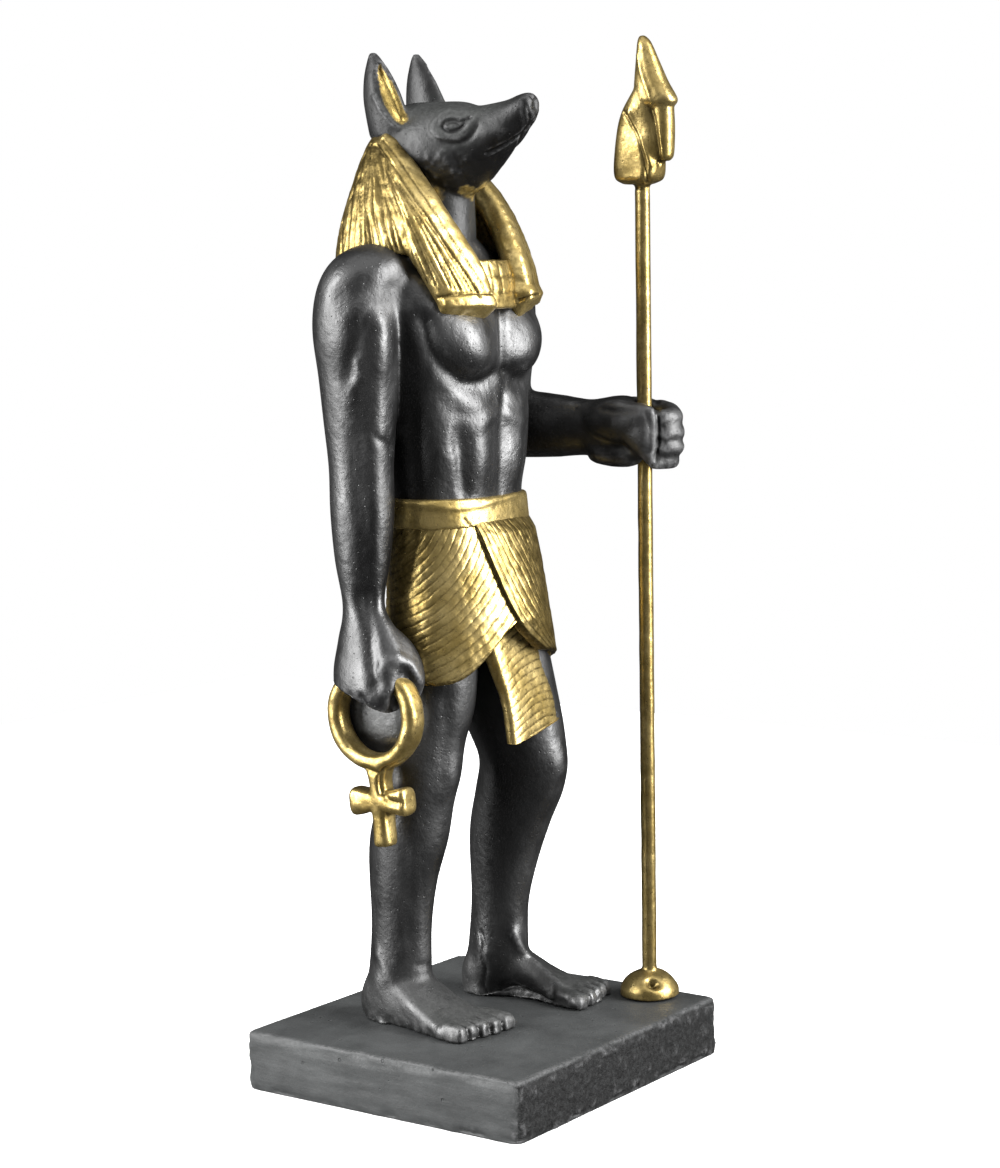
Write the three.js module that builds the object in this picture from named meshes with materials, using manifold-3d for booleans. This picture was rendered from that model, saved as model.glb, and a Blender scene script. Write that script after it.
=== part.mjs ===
// A jackal-headed standing figure in cast resin, made as an ornament for a fish tank.
// It strides on a block plinth, holds a sceptre upright in its left fist and a looped cross in its right one.
// Millimetres, +Z up. The figure faces -Y, so its right hand is on the -X side.
// The origin is at the middle of the plinth's underside.
import * as THREE from "three";
import { mergeVertices } from "three/addons/utils/BufferGeometryUtils.js";
import Module from "manifold-3d";

const wasm = await Module();
wasm.setup();

// Driving dimensions
const PLINTH = { width: 91.8, depth: 84.5, height: 15, corner: 1.2, edge: 0.9 };
const FIT_GAP = 0.3; // left between pieces that touch
const MIDDLE = 2; // the figure's own middle plane, in X
const GROUND = PLINTH.height + FIT_GAP; // where the soles are cut flat

const ROD = { x: 38.1, y: -25.7, radius: 1.95, top: 229, leanX: -0.1, leanY: -0.14 };
const FOOT_DOME = { radius: 8, height: 6.4 };

const LOOP = { x: -28.9, y: 11.9, z: 95.8, radius: 11.6, band: 4.2, thickness: 6.6, lean: -4.7 };
const CROSS = { span: 17.2, armHeight: 6.6, armDrop: 21.4, footDrop: 32.6, width: 4.6 };

// Colours, as the paint and the gold leaf look
const BLACK_RESIN = { color: 0x2d2d2f, roughness: 0.45, metalness: 0 };
const PLINTH_RESIN = { color: 0x47484a, roughness: 0.65, metalness: 0 };
const GOLD_LEAF = { color: 0xc9a13a, roughness: 0.35, metalness: 0.9 };

const X_AXIS = new THREE.Vector3(1, 0, 0);
const Y_AXIS = new THREE.Vector3(0, 1, 0);
const Z_AXIS = new THREE.Vector3(0, 0, 1);

// Solids from three.js geometries, and back

function toSolid(geometry) {
  const bare = geometry.clone();
  bare.deleteAttribute("normal");
  bare.deleteAttribute("uv");
  const merged = mergeVertices(bare, 1e-4);
  return new wasm.Manifold(
    new wasm.Mesh({
      numProp: 3,
      vertProperties: new Float32Array(merged.attributes.position.array),
      triVerts: new Uint32Array(merged.index.array),
    }),
  );
}

function toGeometry(solid) {
  const mesh = solid.getMesh();
  const geometry = new THREE.BufferGeometry();
  geometry.setAttribute("position", new THREE.BufferAttribute(mesh.vertProperties, 3));
  geometry.setIndex(new THREE.BufferAttribute(mesh.triVerts, 1));
  geometry.computeVertexNormals();
  return geometry;
}

function join(solids) {
  return solids.reduce((whole, piece) => whole.add(piece));
}

function block(x0, x1, y0, y1, z0, z1) {
  const box = new THREE.BoxGeometry(x1 - x0, y1 - y0, z1 - z0);
  box.translate((x0 + x1) / 2, (y0 + y1) / 2, (z0 + z1) / 2);
  return toSolid(box);
}

// A smooth curve through the same column of numbers of every station
function curveThrough(stations, first) {
  const points = stations.map((s) => new THREE.Vector3(s[first], s[first + 1], s[first + 2]));
  return new THREE.CatmullRomCurve3(points, false, "catmullrom", 0.5);
}

// The superellipse radius factor: 2 is an ellipse, more is squarer
function squared(value, squareness) {
  return Math.sign(value) * Math.abs(value) ** (2 / squareness);
}

// How far a swelling or a hollow lifts the surface at a point: each is [x, y, z, reach, reach, reach, height]
function lift(point, swells) {
  return swells.reduce((sum, [x, y, z, rx, ry, rz, height]) => {
    const d = ((point.x - x) / rx) ** 2 + ((point.y - y) / ry) ** 2 + ((point.z - z) / rz) ** 2;
    return sum + height * Math.exp(-d);
  }, 0);
}

// A closed body along a path. A station is [x, y, z, half width, half depth, squareness].
// The width lies along "across". With "facing" every ring is square to that axis, otherwise to the path.
function loft(stations, { across = X_AXIS, facing = null, sides = 16, steps = 2, swells = [] } = {}) {
  const spine = curveThrough(stations, 0);
  const sizes = curveThrough(stations.map((s) => [s[3], s[4], s[5] ?? 2]), 0);
  const rings = (stations.length - 1) * steps;
  const heading = facing && facing.clone();
  if (heading && heading.dot(spine.getPoint(1).sub(spine.getPoint(0))) < 0) heading.negate();
  const geometry = new THREE.CylinderGeometry(1, 1, 1, sides, rings);
  const position = geometry.attributes.position;
  for (let i = 0; i < position.count; i += 1) {
    const t = THREE.MathUtils.clamp(position.getY(i) + 0.5, 0, 1);
    const out = Math.hypot(position.getX(i), position.getZ(i));
    const angle = Math.atan2(-position.getZ(i), position.getX(i));
    const centre = spine.getPoint(t);
    const size = sizes.getPoint(t);
    const along = heading ?? spine.getTangent(t);
    const wide = across.clone().addScaledVector(along, -across.dot(along)).normalize();
    const deep = new THREE.Vector3().crossVectors(along, wide);
    const point = centre.clone();
    if (out > 0.5) {
      point.addScaledVector(wide, Math.max(size.x, 0.2) * squared(Math.cos(angle), size.z));
      point.addScaledVector(deep, Math.max(size.y, 0.2) * squared(Math.sin(angle), size.z));
      const away = point.clone().sub(centre).normalize();
      point.addScaledVector(away, lift(point, swells));
    }
    position.setXYZ(i, point.x, point.y, point.z);
  }
  return toSolid(geometry);
}

// The same list of stations on the other side of the figure's middle plane
function mirrored(rows) {
  return rows.map(([x, ...rest]) => [2 * MIDDLE - x, ...rest]);
}

function onMiddle(rows) {
  return rows.map(([x, ...rest]) => [MIDDLE + x, ...rest]);
}

function bothSides(rows) {
  return [...rows, ...mirrored(rows)];
}

// Torso and neck, from the hips up: [x from the middle, y, z, half width, half depth, squareness]
const TORSO = onMiddle([
  [0, 7, 107, 15, 10, 2.2],
  [0, 6.8, 114, 19, 13.4, 2.2],
  [0, 7.4, 130, 20.5, 13.6, 2.2],
  [0, 7.8, 147, 19.8, 12.6, 2.6],
  [0, 7.8, 158, 20.2, 12.6, 2.6],
  [0, 7.8, 170, 22.2, 12.9, 2.6],
  [0, 7.4, 180, 24, 13.2, 2.6],
  [0, 8, 190, 25.5, 13.6, 2.7],
  [0, 10.6, 200, 27, 13, 2.5],
  [0, 12.6, 207, 22, 11, 2.2],
  [0, 13, 213, 12.5, 10, 2],
  [0, 13.4, 221, 9.6, 9.6, 2],
  [0, 14.6, 232, 10.5, 10.5, 2],
]);
const CHEST_AND_BELLY = [
  ...bothSides([
    [MIDDLE - 11, -6, 189, 9, 8, 8, 2.8],
    [MIDDLE - 9, -5, 177, 9, 6, 3, -1.3],
    [MIDDLE - 5.5, -4, 162, 4, 6, 14, 0.9],
    [MIDDLE - 15, 4, 168, 6, 8, 8, 0.8],
  ]),
  [MIDDLE, -6, 186, 2.6, 8, 12, -1.4],
  [MIDDLE, -4.5, 160, 2, 6, 14, -0.8],
  [MIDDLE, 21, 180, 3, 8, 26, -1.4],
];

// Arms: half width is fore and aft, half depth is sideways
const RIGHT_ARM = [
  [-12, 13.2, 202, 7, 6.5],
  [-20, 14.6, 204.4, 9.2, 7.6],
  [-26.4, 16, 201, 10.4, 9.4],
  [-28, 16.6, 192, 10.6, 9.2],
  [-27.6, 16.5, 180, 9.8, 8.4],
  [-27.2, 16.4, 168, 9, 7.8],
  [-27, 16.4, 157, 8, 7.2],
  [-27, 16.3, 146, 8.1, 6.9],
  [-27.4, 16.2, 134, 7, 6],
  [-27.8, 15.8, 123, 5.6, 4.8],
  [-28, 14.8, 116.5, 8, 5.4],
  [-28.3, 13.4, 110, 10.4, 6.4, 2.3],
  [-28.6, 12.4, 104.4, 10.8, 7.1, 2.5],
  [-28.6, 12.2, 100.4, 10.6, 6.9, 2.6],
  [-28.2, 12, 97.6, 9, 5.2, 2.4],
  [-28, 12, 96.6, 5.6, 2.6, 2.2],
];
const LEFT_UPPER_ARM = [
  [16, 13.2, 202, 7, 6.5],
  [24, 14.6, 203.6, 9.2, 7.6],
  [30.2, 16, 200.5, 10.4, 9.4],
  [31.6, 16.6, 192, 10.4, 9.2],
  [31.8, 16.8, 180, 9.6, 8.2],
  [32.6, 17.2, 170, 9, 7.8],
  [33.2, 17, 163, 8.6, 7.6],
  [33.4, 17, 158, 5.6, 5],
];
// Forearm and fist: half width is sideways, half depth is up and down
const LEFT_FOREARM = [
  [33.3, 22, 164, 5.6, 6],
  [33.4, 17, 164.4, 7.6, 8.4],
  [34, 8, 164.6, 7.8, 8.8],
  [34.8, -2, 164.4, 6.9, 8.2],
  [35.4, -12, 164.2, 5.7, 7.4],
  [36, -18, 163.8, 6.4, 8.4, 2.3],
  [37, -24, 163, 7, 9, 2.5],
  [37.8, -28.4, 162.6, 6.6, 8.8, 2.6],
  [38.2, -31, 162.5, 4.6, 7.8, 2.6],
];
const LEFT_FINGER_HEIGHTS = [169.2, 164.8, 160.4, 156.4];
const LEFT_FINGER = [
  [42.8, -26, 0, 2.3, 2.5],
  [42, -31.6, 0, 2.5, 2.5],
  [38.2, -34, 0, 2.5, 2.5],
  [34, -32.8, 0, 2.4, 2.4],
  [31.8, -29.6, 0, 2.2, 2.2],
  [31.6, -27.8, 0, 1.2, 1.2],
];
const LEFT_THUMB = [
  [32.6, -13, 166.6, 2.2, 2.8],
  [31, -19, 167.8, 3, 3],
  [30.6, -25, 167, 3, 2.9],
  [31.6, -29.4, 163.4, 2.6, 2.5],
  [32.2, -30.6, 160.6, 1.2, 1.4],
];
const RIGHT_THUMB = [
  [-25.8, 9.6, 115, 2.4, 2.6],
  [-24.4, 6, 111, 3, 3],
  [-24.4, 3.2, 106, 2.9, 2.8],
  [-25.2, 2.6, 101.4, 2.3, 2.3],
  [-25.8, 3, 99, 1, 1],
];

// Legs, from the hip down: the left one is forward and bent a little at the knee
const RIGHT_LEG = [
  [-9.5, 8.6, 110, 11, 13],
  [-11, 9, 98, 11.2, 12.8],
  [-12.4, 9.8, 87, 10.4, 11.2],
  [-13, 10, 79, 9.8, 10.1],
  [-13.5, 11.6, 71, 9.2, 10.2],
  [-14, 13.2, 62, 8.8, 10.5],
  [-14.5, 14.9, 51, 7.9, 9],
  [-15, 15.4, 40, 7, 8.2],
  [-15, 16, 29, 7, 8.6],
  [-15, 16.8, 20, 7.4, 9.2],
  [-15, 17, 14, 7.4, 9.2],
];
const LEFT_LEG = [
  [13.5, 7, 110, 11.5, 14],
  [15, 3.6, 98, 12, 14.2],
  [16.4, 1.2, 87, 11, 13.4],
  [17, -0.4, 79, 9.9, 12],
  [17.8, 1.2, 71, 9.8, 12.2],
  [18.4, 4.4, 62, 9, 11],
  [18.8, 7, 51, 8, 9.2],
  [19, 8.7, 40, 6.9, 8],
  [19, 9.4, 29, 7, 8.4],
  [19, 10, 20, 7.4, 9],
  [19, 10.2, 14, 7.4, 9],
];
// The resin left between the loop and the back of the right thigh
const THIGH_WEB = [
  [-17, 13, 105, 6, 7, 2.6],
  [-18.4, 15, 98, 6.6, 10, 3],
  [-18.4, 15.2, 90.4, 6.6, 10, 3],
  [-17.4, 14.4, 85, 5.6, 8, 2.6],
  [-16.4, 13.4, 80, 3, 4, 2],
];
// Feet, from heel to instep: half width is sideways, half depth is up and down
const RIGHT_FOOT = [
  [-14.8, 26.4, 18, 3.6, 3.4],
  [-14.8, 24.4, 20, 6, 7.2],
  [-15, 18.4, 21, 7.6, 9.4],
  [-15.4, 10, 20.4, 8.4, 9.4],
  [-15.8, 2, 18.4, 9.4, 7.6],
  [-16.2, -4, 17.2, 10.4, 5.4],
  [-16.4, -8.6, 16.4, 11, 3.6],
  [-16.4, -10.4, 16, 10.6, 2.2],
];
const LEFT_FOOT = [
  [19, 21.6, 18, 4, 3.4],
  [19, 19.4, 20, 6.4, 7.2],
  [19.4, 12.6, 21, 7.6, 9.4],
  [20.4, 4, 20.4, 8, 9.2],
  [21.8, -4, 18.4, 8.6, 7.4],
  [23, -10, 17.2, 9.2, 5.2],
  [24, -14.4, 16.4, 9.8, 3.6],
  [24.2, -16, 16, 9.4, 2.2],
];
// Toes in order from the big one: [sideways place in the foot's half width, reach past the instep, half width]
const TOES = [
  [0.72, 5.2, 2.9],
  [0.26, 4.8, 2.1],
  [-0.12, 4.2, 2],
  [-0.46, 3.4, 1.9],
  [-0.78, 2.4, 1.8],
];

// Head from the nape to the nose: half width is sideways, half depth is up and down
const HEAD = onMiddle([
  [0, 27.6, 236, 5.5, 5.5],
  [0, 25.4, 236.4, 9.4, 8.6],
  [0, 20, 236.2, 11.8, 10.8],
  [0, 12, 235.4, 12, 11.6],
  [0, 5, 235, 11, 11.8],
  [0, 0, 235.6, 8.6, 10],
  [0, -5, 237.9, 6.6, 8.1],
  [0, -9.6, 240.7, 5.4, 6],
  [0, -13, 243, 4.6, 4.8],
  [0, -15.6, 244.4, 3.8, 3.7],
  [0, -16.8, 244.8, 2.2, 2.2],
]);
const BROWS = bothSides([
  [MIDDLE - 8, 4, 243.5, 4, 6, 2.6, 1.1],
  [MIDDLE - 9, 3, 239.4, 3, 4.4, 2.4, -1],
]);
const RIGHT_EAR = [
  [-7, 21, 238, 5.6, 3.4],
  [-7.4, 21.4, 243, 6, 3.4],
  [-7.4, 22.6, 248, 5.6, 3.2],
  [-7.2, 24.2, 253.4, 3.9, 2.6],
  [-7, 25.4, 257.4, 1.9, 1.4],
  [-7, 25.8, 259.2, 0.7, 0.7],
];

// Headdress: the fall over the back and shoulders, and a lappet down each side of the chest
const BACK_FALL = onMiddle([
  [0, 22.6, 240.4, 9.5, 4.6, 2.4],
  [0, 21.4, 236, 14.4, 7.6, 2.5],
  [0, 20.4, 226, 20.4, 9.8, 2.7],
  [0, 20.2, 216, 25, 10.6, 2.9],
  [0, 20.4, 207.5, 27, 10.4, 3],
  [0, 22, 200, 26, 8.4, 3],
  [0, 22.6, 194, 25, 7.2, 3],
]);
const RIGHT_SHOULDER_FALL = [
  [-7, 22, 239, 4, 2.6],
  [-11.4, 18, 230, 7, 4],
  [-15, 14.8, 221.6, 9, 4.8],
  [-18.2, 13.6, 214, 10, 4.8],
  [-19.6, 13.4, 209, 8.4, 3.6],
];
const RIGHT_LAPPET = [
  [-8.6, 21, 238, 2.6, 2.6, 2.6],
  [-11.4, 14.6, 230.4, 4.2, 3.2, 2.8],
  [-14, 8, 221.6, 6, 3.6, 3],
  [-14.4, 3, 213, 7.6, 3.6, 3],
  [-12.4, -2, 204, 7.8, 3.6, 3.2],
  [-10.8, -4.4, 197, 7.6, 3.4, 3.4],
  [-10.6, -4.8, 193.6, 6.8, 2.4, 3.4],
];
const RIGHT_LAPPET_ACROSS = new THREE.Vector3(0.9, -0.44, 0);
const LEFT_LAPPET_ACROSS = new THREE.Vector3(0.9, 0.44, 0);
const COLLAR = onMiddle([
  [0, -1.6, 207.5, 7.4, 3.2, 2.6],
  [0, -3, 202, 8, 3.4, 2.6],
  [0, -4, 195.4, 8.4, 3, 2.6],
]);

// Belt and kilt
const BELT = { y: 8.2, halfWidth: 21.8, halfDepth: 14.5, low: 141.4, high: 148.8, squareness: 2.3 };
const KILT = { top: 143, halfWidthTop: 21.2, halfDepthTop: 14, halfWidthHem: 24.4, halfDepthHem: 18.4 };
const KILT_CENTRE = { topY: 8.2, hemY: 5.6 };
const HEM = { low: 103, rise: 15, flapLow: 103, flapRise: 6.6 };
const FLAP = { thick: 1.5, end: 2.6 * Math.PI };
const APRON = onMiddle([
  [0.8, -4, 115, 9, 3.2, 4],
  [2.2, -7.2, 106, 9.6, 2.6, 4],
  [3.8, -9.8, 97, 10, 2.1, 4],
  [4.4, -11.4, 85.6, 10.2, 2, 4],
]);
const APRON_SLANT = 0.2; // rise of the apron's lower edge towards the figure's left

// How nearly a direction round the waist points forwards, from 0 to 1
function forwards(angle) {
  return Math.max(-Math.sin(angle), 0);
}

// The hem of the under layer climbs steeply to where the wrap crosses in front
function hemHeight(angle) {
  return HEM.low + HEM.rise * forwards(angle) ** 5;
}

function flapHemHeight(angle) {
  return HEM.flapLow + HEM.flapRise * forwards(angle) ** 1.5;
}

// The angle of the flap's front edge, which slants across the front and sweeps back at the hem
function flapStart(down) {
  return Math.PI * (1.34 + 0.14 * down + 0.12 * down ** 8);
}

// A point on the kilt: "down" is 0 at the belt and 1 at the hem, "out" moves it outwards
function onKilt(angle, down, out = 0, hem = hemHeight) {
  const flare = down ** 0.8;
  const wide = THREE.MathUtils.lerp(KILT.halfWidthTop, KILT.halfWidthHem, flare) + out;
  const deep = THREE.MathUtils.lerp(KILT.halfDepthTop, KILT.halfDepthHem, flare) + out;
  return new THREE.Vector3(
    MIDDLE + wide * squared(Math.cos(angle), 2.2),
    THREE.MathUtils.lerp(KILT_CENTRE.topY, KILT_CENTRE.hemY, flare) + deep * squared(Math.sin(angle), 2.2),
    THREE.MathUtils.lerp(KILT.top, hem(angle), down),
  );
}

function makeKilt() {
  const geometry = new THREE.CylinderGeometry(1, 1, 1, 32, 4);
  const position = geometry.attributes.position;
  for (let i = 0; i < position.count; i += 1) {
    const down = THREE.MathUtils.clamp(0.5 - position.getY(i), 0, 1);
    const out = Math.hypot(position.getX(i), position.getZ(i));
    const angle = Math.atan2(-position.getZ(i), position.getX(i));
    const point = out > 0.5 ? onKilt(angle, down) : new THREE.Vector3(MIDDLE, 6, down > 0.5 ? 108 : KILT.top);
    position.setXYZ(i, point.x, point.y, point.z);
  }
  return toSolid(geometry);
}

// The overlapping half of the wrap: from its slanting edge in front, round the left side, to the back
function makeFlap() {
  const geometry = new THREE.BoxGeometry(1, 1, 1, 14, 1, 5);
  const position = geometry.attributes.position;
  for (let i = 0; i < position.count; i += 1) {
    const round = position.getX(i) + 0.5;
    const down = 0.5 - position.getZ(i);
    const angle = THREE.MathUtils.lerp(flapStart(down), FLAP.end, round);
    const thick = FLAP.thick * (1 - round ** 6);
    const point = onKilt(angle, down, position.getY(i) > 0 ? -2 : thick, flapHemHeight);
    position.setXYZ(i, point.x, point.y, point.z);
  }
  return toSolid(geometry);
}

function makeBelt() {
  const { y, halfWidth, halfDepth, low, high, squareness } = BELT;
  return loft(
    [
      [MIDDLE, y, low, halfWidth, halfDepth, squareness],
      [MIDDLE, y, high, halfWidth - 0.5, halfDepth - 0.7, squareness],
    ],
    { facing: Z_AXIS, sides: 32, steps: 1 },
  );
}

function makeApron() {
  const apron = loft(APRON, { sides: 8, steps: 1, facing: Z_AXIS });
  const lower = APRON[APRON.length - 1];
  const cut = new THREE.BoxGeometry(40, 30, 20);
  cut.translate(0, 0, -10);
  cut.rotateY(-Math.atan(APRON_SLANT));
  cut.translate(lower[0], lower[1], lower[2] + 3.2);
  return apron.subtract(toSolid(cut));
}

function makeFoot(stations, bigToeSide) {
  const [x, y, , halfWidth] = stations[stations.length - 2];
  const toes = TOES.map(([place, reach, half]) => {
    const toeX = x + bigToeSide * place * halfWidth;
    return loft(
      [
        [toeX, y + 4, 16.8, half, 3, 2.4],
        [toeX, y - reach * 0.6, 16.4, half, 2.7, 2.4],
        [toeX, y - reach, 16.2, half * 0.7, 1.5, 2.2],
      ],
      { facing: Y_AXIS, sides: 6, steps: 1 },
    );
  });
  return join([loft(stations, { facing: Y_AXIS, sides: 12, steps: 1 }), ...toes]);
}

function makeLeg(stations) {
  return loft(stations, { facing: Z_AXIS, sides: 14, steps: 1 });
}

function makeHead() {
  const skull = loft(HEAD, { facing: Y_AXIS, sides: 16, steps: 1, swells: BROWS });
  const ears = [RIGHT_EAR, mirrored(RIGHT_EAR)].map((rows) => {
    return loft(rows, { across: Y_AXIS, facing: Z_AXIS, sides: 10, steps: 1 });
  });
  return join([skull, ...ears]);
}

function makeHeaddress() {
  return join([
    loft(BACK_FALL, { facing: Z_AXIS, sides: 20 }),
    loft(RIGHT_SHOULDER_FALL, { across: Y_AXIS, facing: Z_AXIS, sides: 10 }),
    loft(mirrored(RIGHT_SHOULDER_FALL), { across: Y_AXIS, facing: Z_AXIS, sides: 10 }),
    loft(RIGHT_LAPPET, { across: RIGHT_LAPPET_ACROSS, sides: 10 }),
    loft(mirrored(RIGHT_LAPPET), { across: LEFT_LAPPET_ACROSS, sides: 10 }),
    loft(COLLAR, { facing: Z_AXIS, sides: 10, steps: 1 }),
  ]);
}

function makeLeftHand() {
  const fingers = LEFT_FINGER_HEIGHTS.map((height) => {
    const rows = LEFT_FINGER.map(([x, y, z, a, b]) => [x, y, z + height, a, b]);
    return loft(rows, { across: Z_AXIS, sides: 6, steps: 1 });
  });
  return join([...fingers, loft(LEFT_THUMB, { across: Z_AXIS, sides: 8, steps: 1 })]);
}

// The looped cross: a thick band bent to a ring, above a cross with flared ends

function ringShape(radius, band, grow = 0) {
  const shape = new THREE.Shape();
  shape.absarc(0, 0, radius + band / 2 + grow, 0, 2 * Math.PI);
  const hole = new THREE.Path();
  hole.absarc(0, 0, radius - band / 2 - grow, 0, 2 * Math.PI, true);
  shape.holes.push(hole);
  return shape;
}

// A shape drawn in Y and Z, with real thickness along X
function sidewaysPlate(shape, thickness, bevel, curveSegments) {
  const geometry = new THREE.ExtrudeGeometry(shape, {
    depth: thickness - 2 * bevel,
    curveSegments,
    bevelEnabled: bevel > 0,
    bevelThickness: bevel,
    bevelSize: bevel,
    bevelOffset: -bevel,
    bevelSegments: 1,
  });
  geometry.translate(0, 0, bevel - thickness / 2);
  geometry.rotateX(Math.PI / 2);
  geometry.rotateZ(Math.PI / 2);
  return geometry;
}

// Drawn about the ring's middle, with the ring above
function crossShape() {
  const neck = CROSS.width / 2;
  const tip = CROSS.span / 2;
  const waist = CROSS.armHeight * 0.36;
  const arm = CROSS.armHeight / 2;
  const shape = new THREE.Shape();
  shape.moveTo(-neck, -LOOP.radius);
  for (const side of [-1, 1]) {
    const across = [
      [neck * 0.9, waist],
      [tip, arm],
      [tip - 0.6, -arm],
      [neck * 0.9, -waist],
      [neck * 1.05, CROSS.armDrop - CROSS.footDrop],
    ];
    for (const [y, z] of side < 0 ? across : across.reverse()) shape.lineTo(side * y, z - CROSS.armDrop);
  }
  shape.lineTo(neck, -LOOP.radius);
  shape.closePath();
  return shape;
}

function makeAnkh() {
  const ring = sidewaysPlate(ringShape(LOOP.radius, LOOP.band), LOOP.thickness, 1, 15);
  const cross = sidewaysPlate(crossShape(), LOOP.thickness, 0.9, 4);
  return toSolid(ring).add(toSolid(cross));
}

// The looped cross hangs from the fist, swung a little forward
function placeAnkh(object) {
  object.position.set(LOOP.x, LOOP.y, LOOP.z);
  object.rotation.x = THREE.MathUtils.degToRad(LOOP.lean);
  object.updateMatrix();
  return object.matrix;
}

// The hollow that the loop runs through in the fist
function loopTunnel() {
  const room = sidewaysPlate(ringShape(LOOP.radius, LOOP.band, FIT_GAP), LOOP.thickness + 2 * FIT_GAP, 0, 15);
  room.translate(LOOP.x, LOOP.y, LOOP.z);
  return toSolid(room);
}

// The sceptre stands on its own axis and is leaned and moved as one

function rodGeometry(radius, low, high, sides) {
  const rod = new THREE.CylinderGeometry(radius, radius, high - low, sides);
  rod.rotateX(Math.PI / 2);
  rod.translate(0, 0, (low + high) / 2);
  return rod;
}

const HOOD = [
  [0, 1, 226.2, 3.4, 3.8, 2.6],
  [0, 0.8, 228, 4.2, 6, 2.8],
  [0, 0.6, 234, 4.4, 6.6, 2.6],
  [0, 0.4, 240.6, 4.2, 6.2, 2.4],
  [0, -0.2, 245.4, 3.8, 5, 2.2],
  [0, -1.2, 249.8, 3.4, 3, 2],
];
const CREST = [
  [0, -4.4, 245.8, 3.4, 5.2, 2.4],
  [0, -4.2, 247.4, 4, 5.8, 2.4],
  [0, -2.9, 252.2, 3.7, 4.3, 2.2],
  [0, -1.8, 257.6, 2.8, 2.9, 2],
  [0, -0.9, 261.8, 1.8, 1.7, 2],
  [0, -0.4, 263.4, 0.7, 0.7, 2],
];
const MUZZLE = [
  [0, -6, 231.8, 1.8, 2, 2],
  [0, -6.2, 233.4, 2.8, 2.8, 2.2],
  [0, -6.4, 240, 3, 2.9, 2.2],
  [0, -6.2, 246.4, 2.9, 2.8, 2.2],
];

function makeSceptre() {
  const { radius, height } = FOOT_DOME;
  const profile = new THREE.SplineCurve([
    new THREE.Vector2(radius, 0),
    new THREE.Vector2(radius * 0.96, height * 0.42),
    new THREE.Vector2(radius * 0.66, height * 0.84),
    new THREE.Vector2(ROD.radius, height),
  ]);
  const rim = [new THREE.Vector2(0, 0), ...profile.getPoints(5), new THREE.Vector2(0, height)];
  const dome = new THREE.LatheGeometry(rim, 16);
  dome.rotateX(Math.PI / 2);
  dome.translate(0, 0, GROUND);
  return join([
    toSolid(dome),
    toSolid(rodGeometry(ROD.radius, GROUND + 2, ROD.top, 12)),
    loft(HOOD, { facing: Z_AXIS, sides: 14, steps: 1 }),
    loft(CREST, { facing: Z_AXIS, sides: 12, steps: 1 }),
    loft(MUZZLE, { facing: Z_AXIS, sides: 10, steps: 1 }),
  ]);
}

// Where the sceptre's axis stands, and how it leans about its foot
function placeSceptre(object) {
  object.position.set(ROD.x, ROD.y, 0);
  object.rotation.set(THREE.MathUtils.degToRad(ROD.leanX), THREE.MathUtils.degToRad(ROD.leanY), 0);
  object.updateMatrix();
  return object.matrix;
}

function rodTunnel() {
  const room = rodGeometry(ROD.radius + FIT_GAP, 120, 200, 12);
  room.applyMatrix4(placeSceptre(new THREE.Object3D()));
  return toSolid(room);
}

function makeFigure() {
  const whole = join([
    loft(TORSO, { facing: Z_AXIS, sides: 24, swells: CHEST_AND_BELLY }),
    loft(RIGHT_ARM, { across: Y_AXIS, sides: 12, steps: 1 }),
    loft(LEFT_UPPER_ARM, { across: Y_AXIS, sides: 12, steps: 1 }),
    loft(LEFT_FOREARM, { sides: 12, steps: 1 }),
    makeLeftHand(),
    loft(RIGHT_THUMB, { across: Y_AXIS, sides: 8, steps: 1 }),
    makeLeg(RIGHT_LEG),
    makeLeg(LEFT_LEG),
    loft(THIGH_WEB, { facing: Z_AXIS, sides: 12, steps: 1 }),
    makeFoot(RIGHT_FOOT, 1),
    makeFoot(LEFT_FOOT, -1),
    makeHead(),
    makeHeaddress(),
    makeKilt(),
    makeFlap(),
    makeBelt(),
    makeApron(),
  ]);
  const belowSoles = block(-60, 60, -60, 60, -10, GROUND);
  return whole.subtract(belowSoles).subtract(loopTunnel()).subtract(rodTunnel());
}

function makePlinth() {
  const { width, depth, height, corner, edge } = PLINTH;
  const x = width / 2 - edge;
  const y = depth / 2 - edge;
  const outline = new THREE.Shape();
  outline.moveTo(-x + corner, -y);
  outline.lineTo(x - corner, -y);
  outline.absarc(x - corner, -y + corner, corner, -Math.PI / 2, 0);
  outline.absarc(x - corner, y - corner, corner, 0, Math.PI / 2);
  outline.absarc(-x + corner, y - corner, corner, Math.PI / 2, Math.PI);
  outline.absarc(-x + corner, -y + corner, corner, Math.PI, Math.PI * 1.5);
  const geometry = new THREE.ExtrudeGeometry(outline, {
    depth: height - 2 * edge,
    curveSegments: 2,
    bevelThickness: edge,
    bevelSize: edge,
    bevelSegments: 1,
  });
  geometry.translate(0, 0, edge);
  return toSolid(geometry);
}

const ornament = new THREE.Group();

function addPiece(name, solid, finish) {
  const mesh = new THREE.Mesh(toGeometry(solid), new THREE.MeshStandardMaterial(finish));
  mesh.name = name;
  ornament.add(mesh);
  return mesh;
}

addPiece("plinth", makePlinth(), PLINTH_RESIN);
addPiece("figure", makeFigure(), BLACK_RESIN);
placeAnkh(addPiece("ankh", makeAnkh(), GOLD_LEAF));
placeSceptre(addPiece("sceptre", makeSceptre(), GOLD_LEAF));

export default ornament;
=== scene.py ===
"""The looks of a jackal-headed ornament in cast resin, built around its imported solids.

Forms are worked in millimetres and made into meshes in metres.
The figure faces -Y, and its right side is -X.
"""

import math

import bpy
import numpy as np
from mathutils import Matrix, Vector
from mathutils.bvhtree import BVHTree


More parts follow.
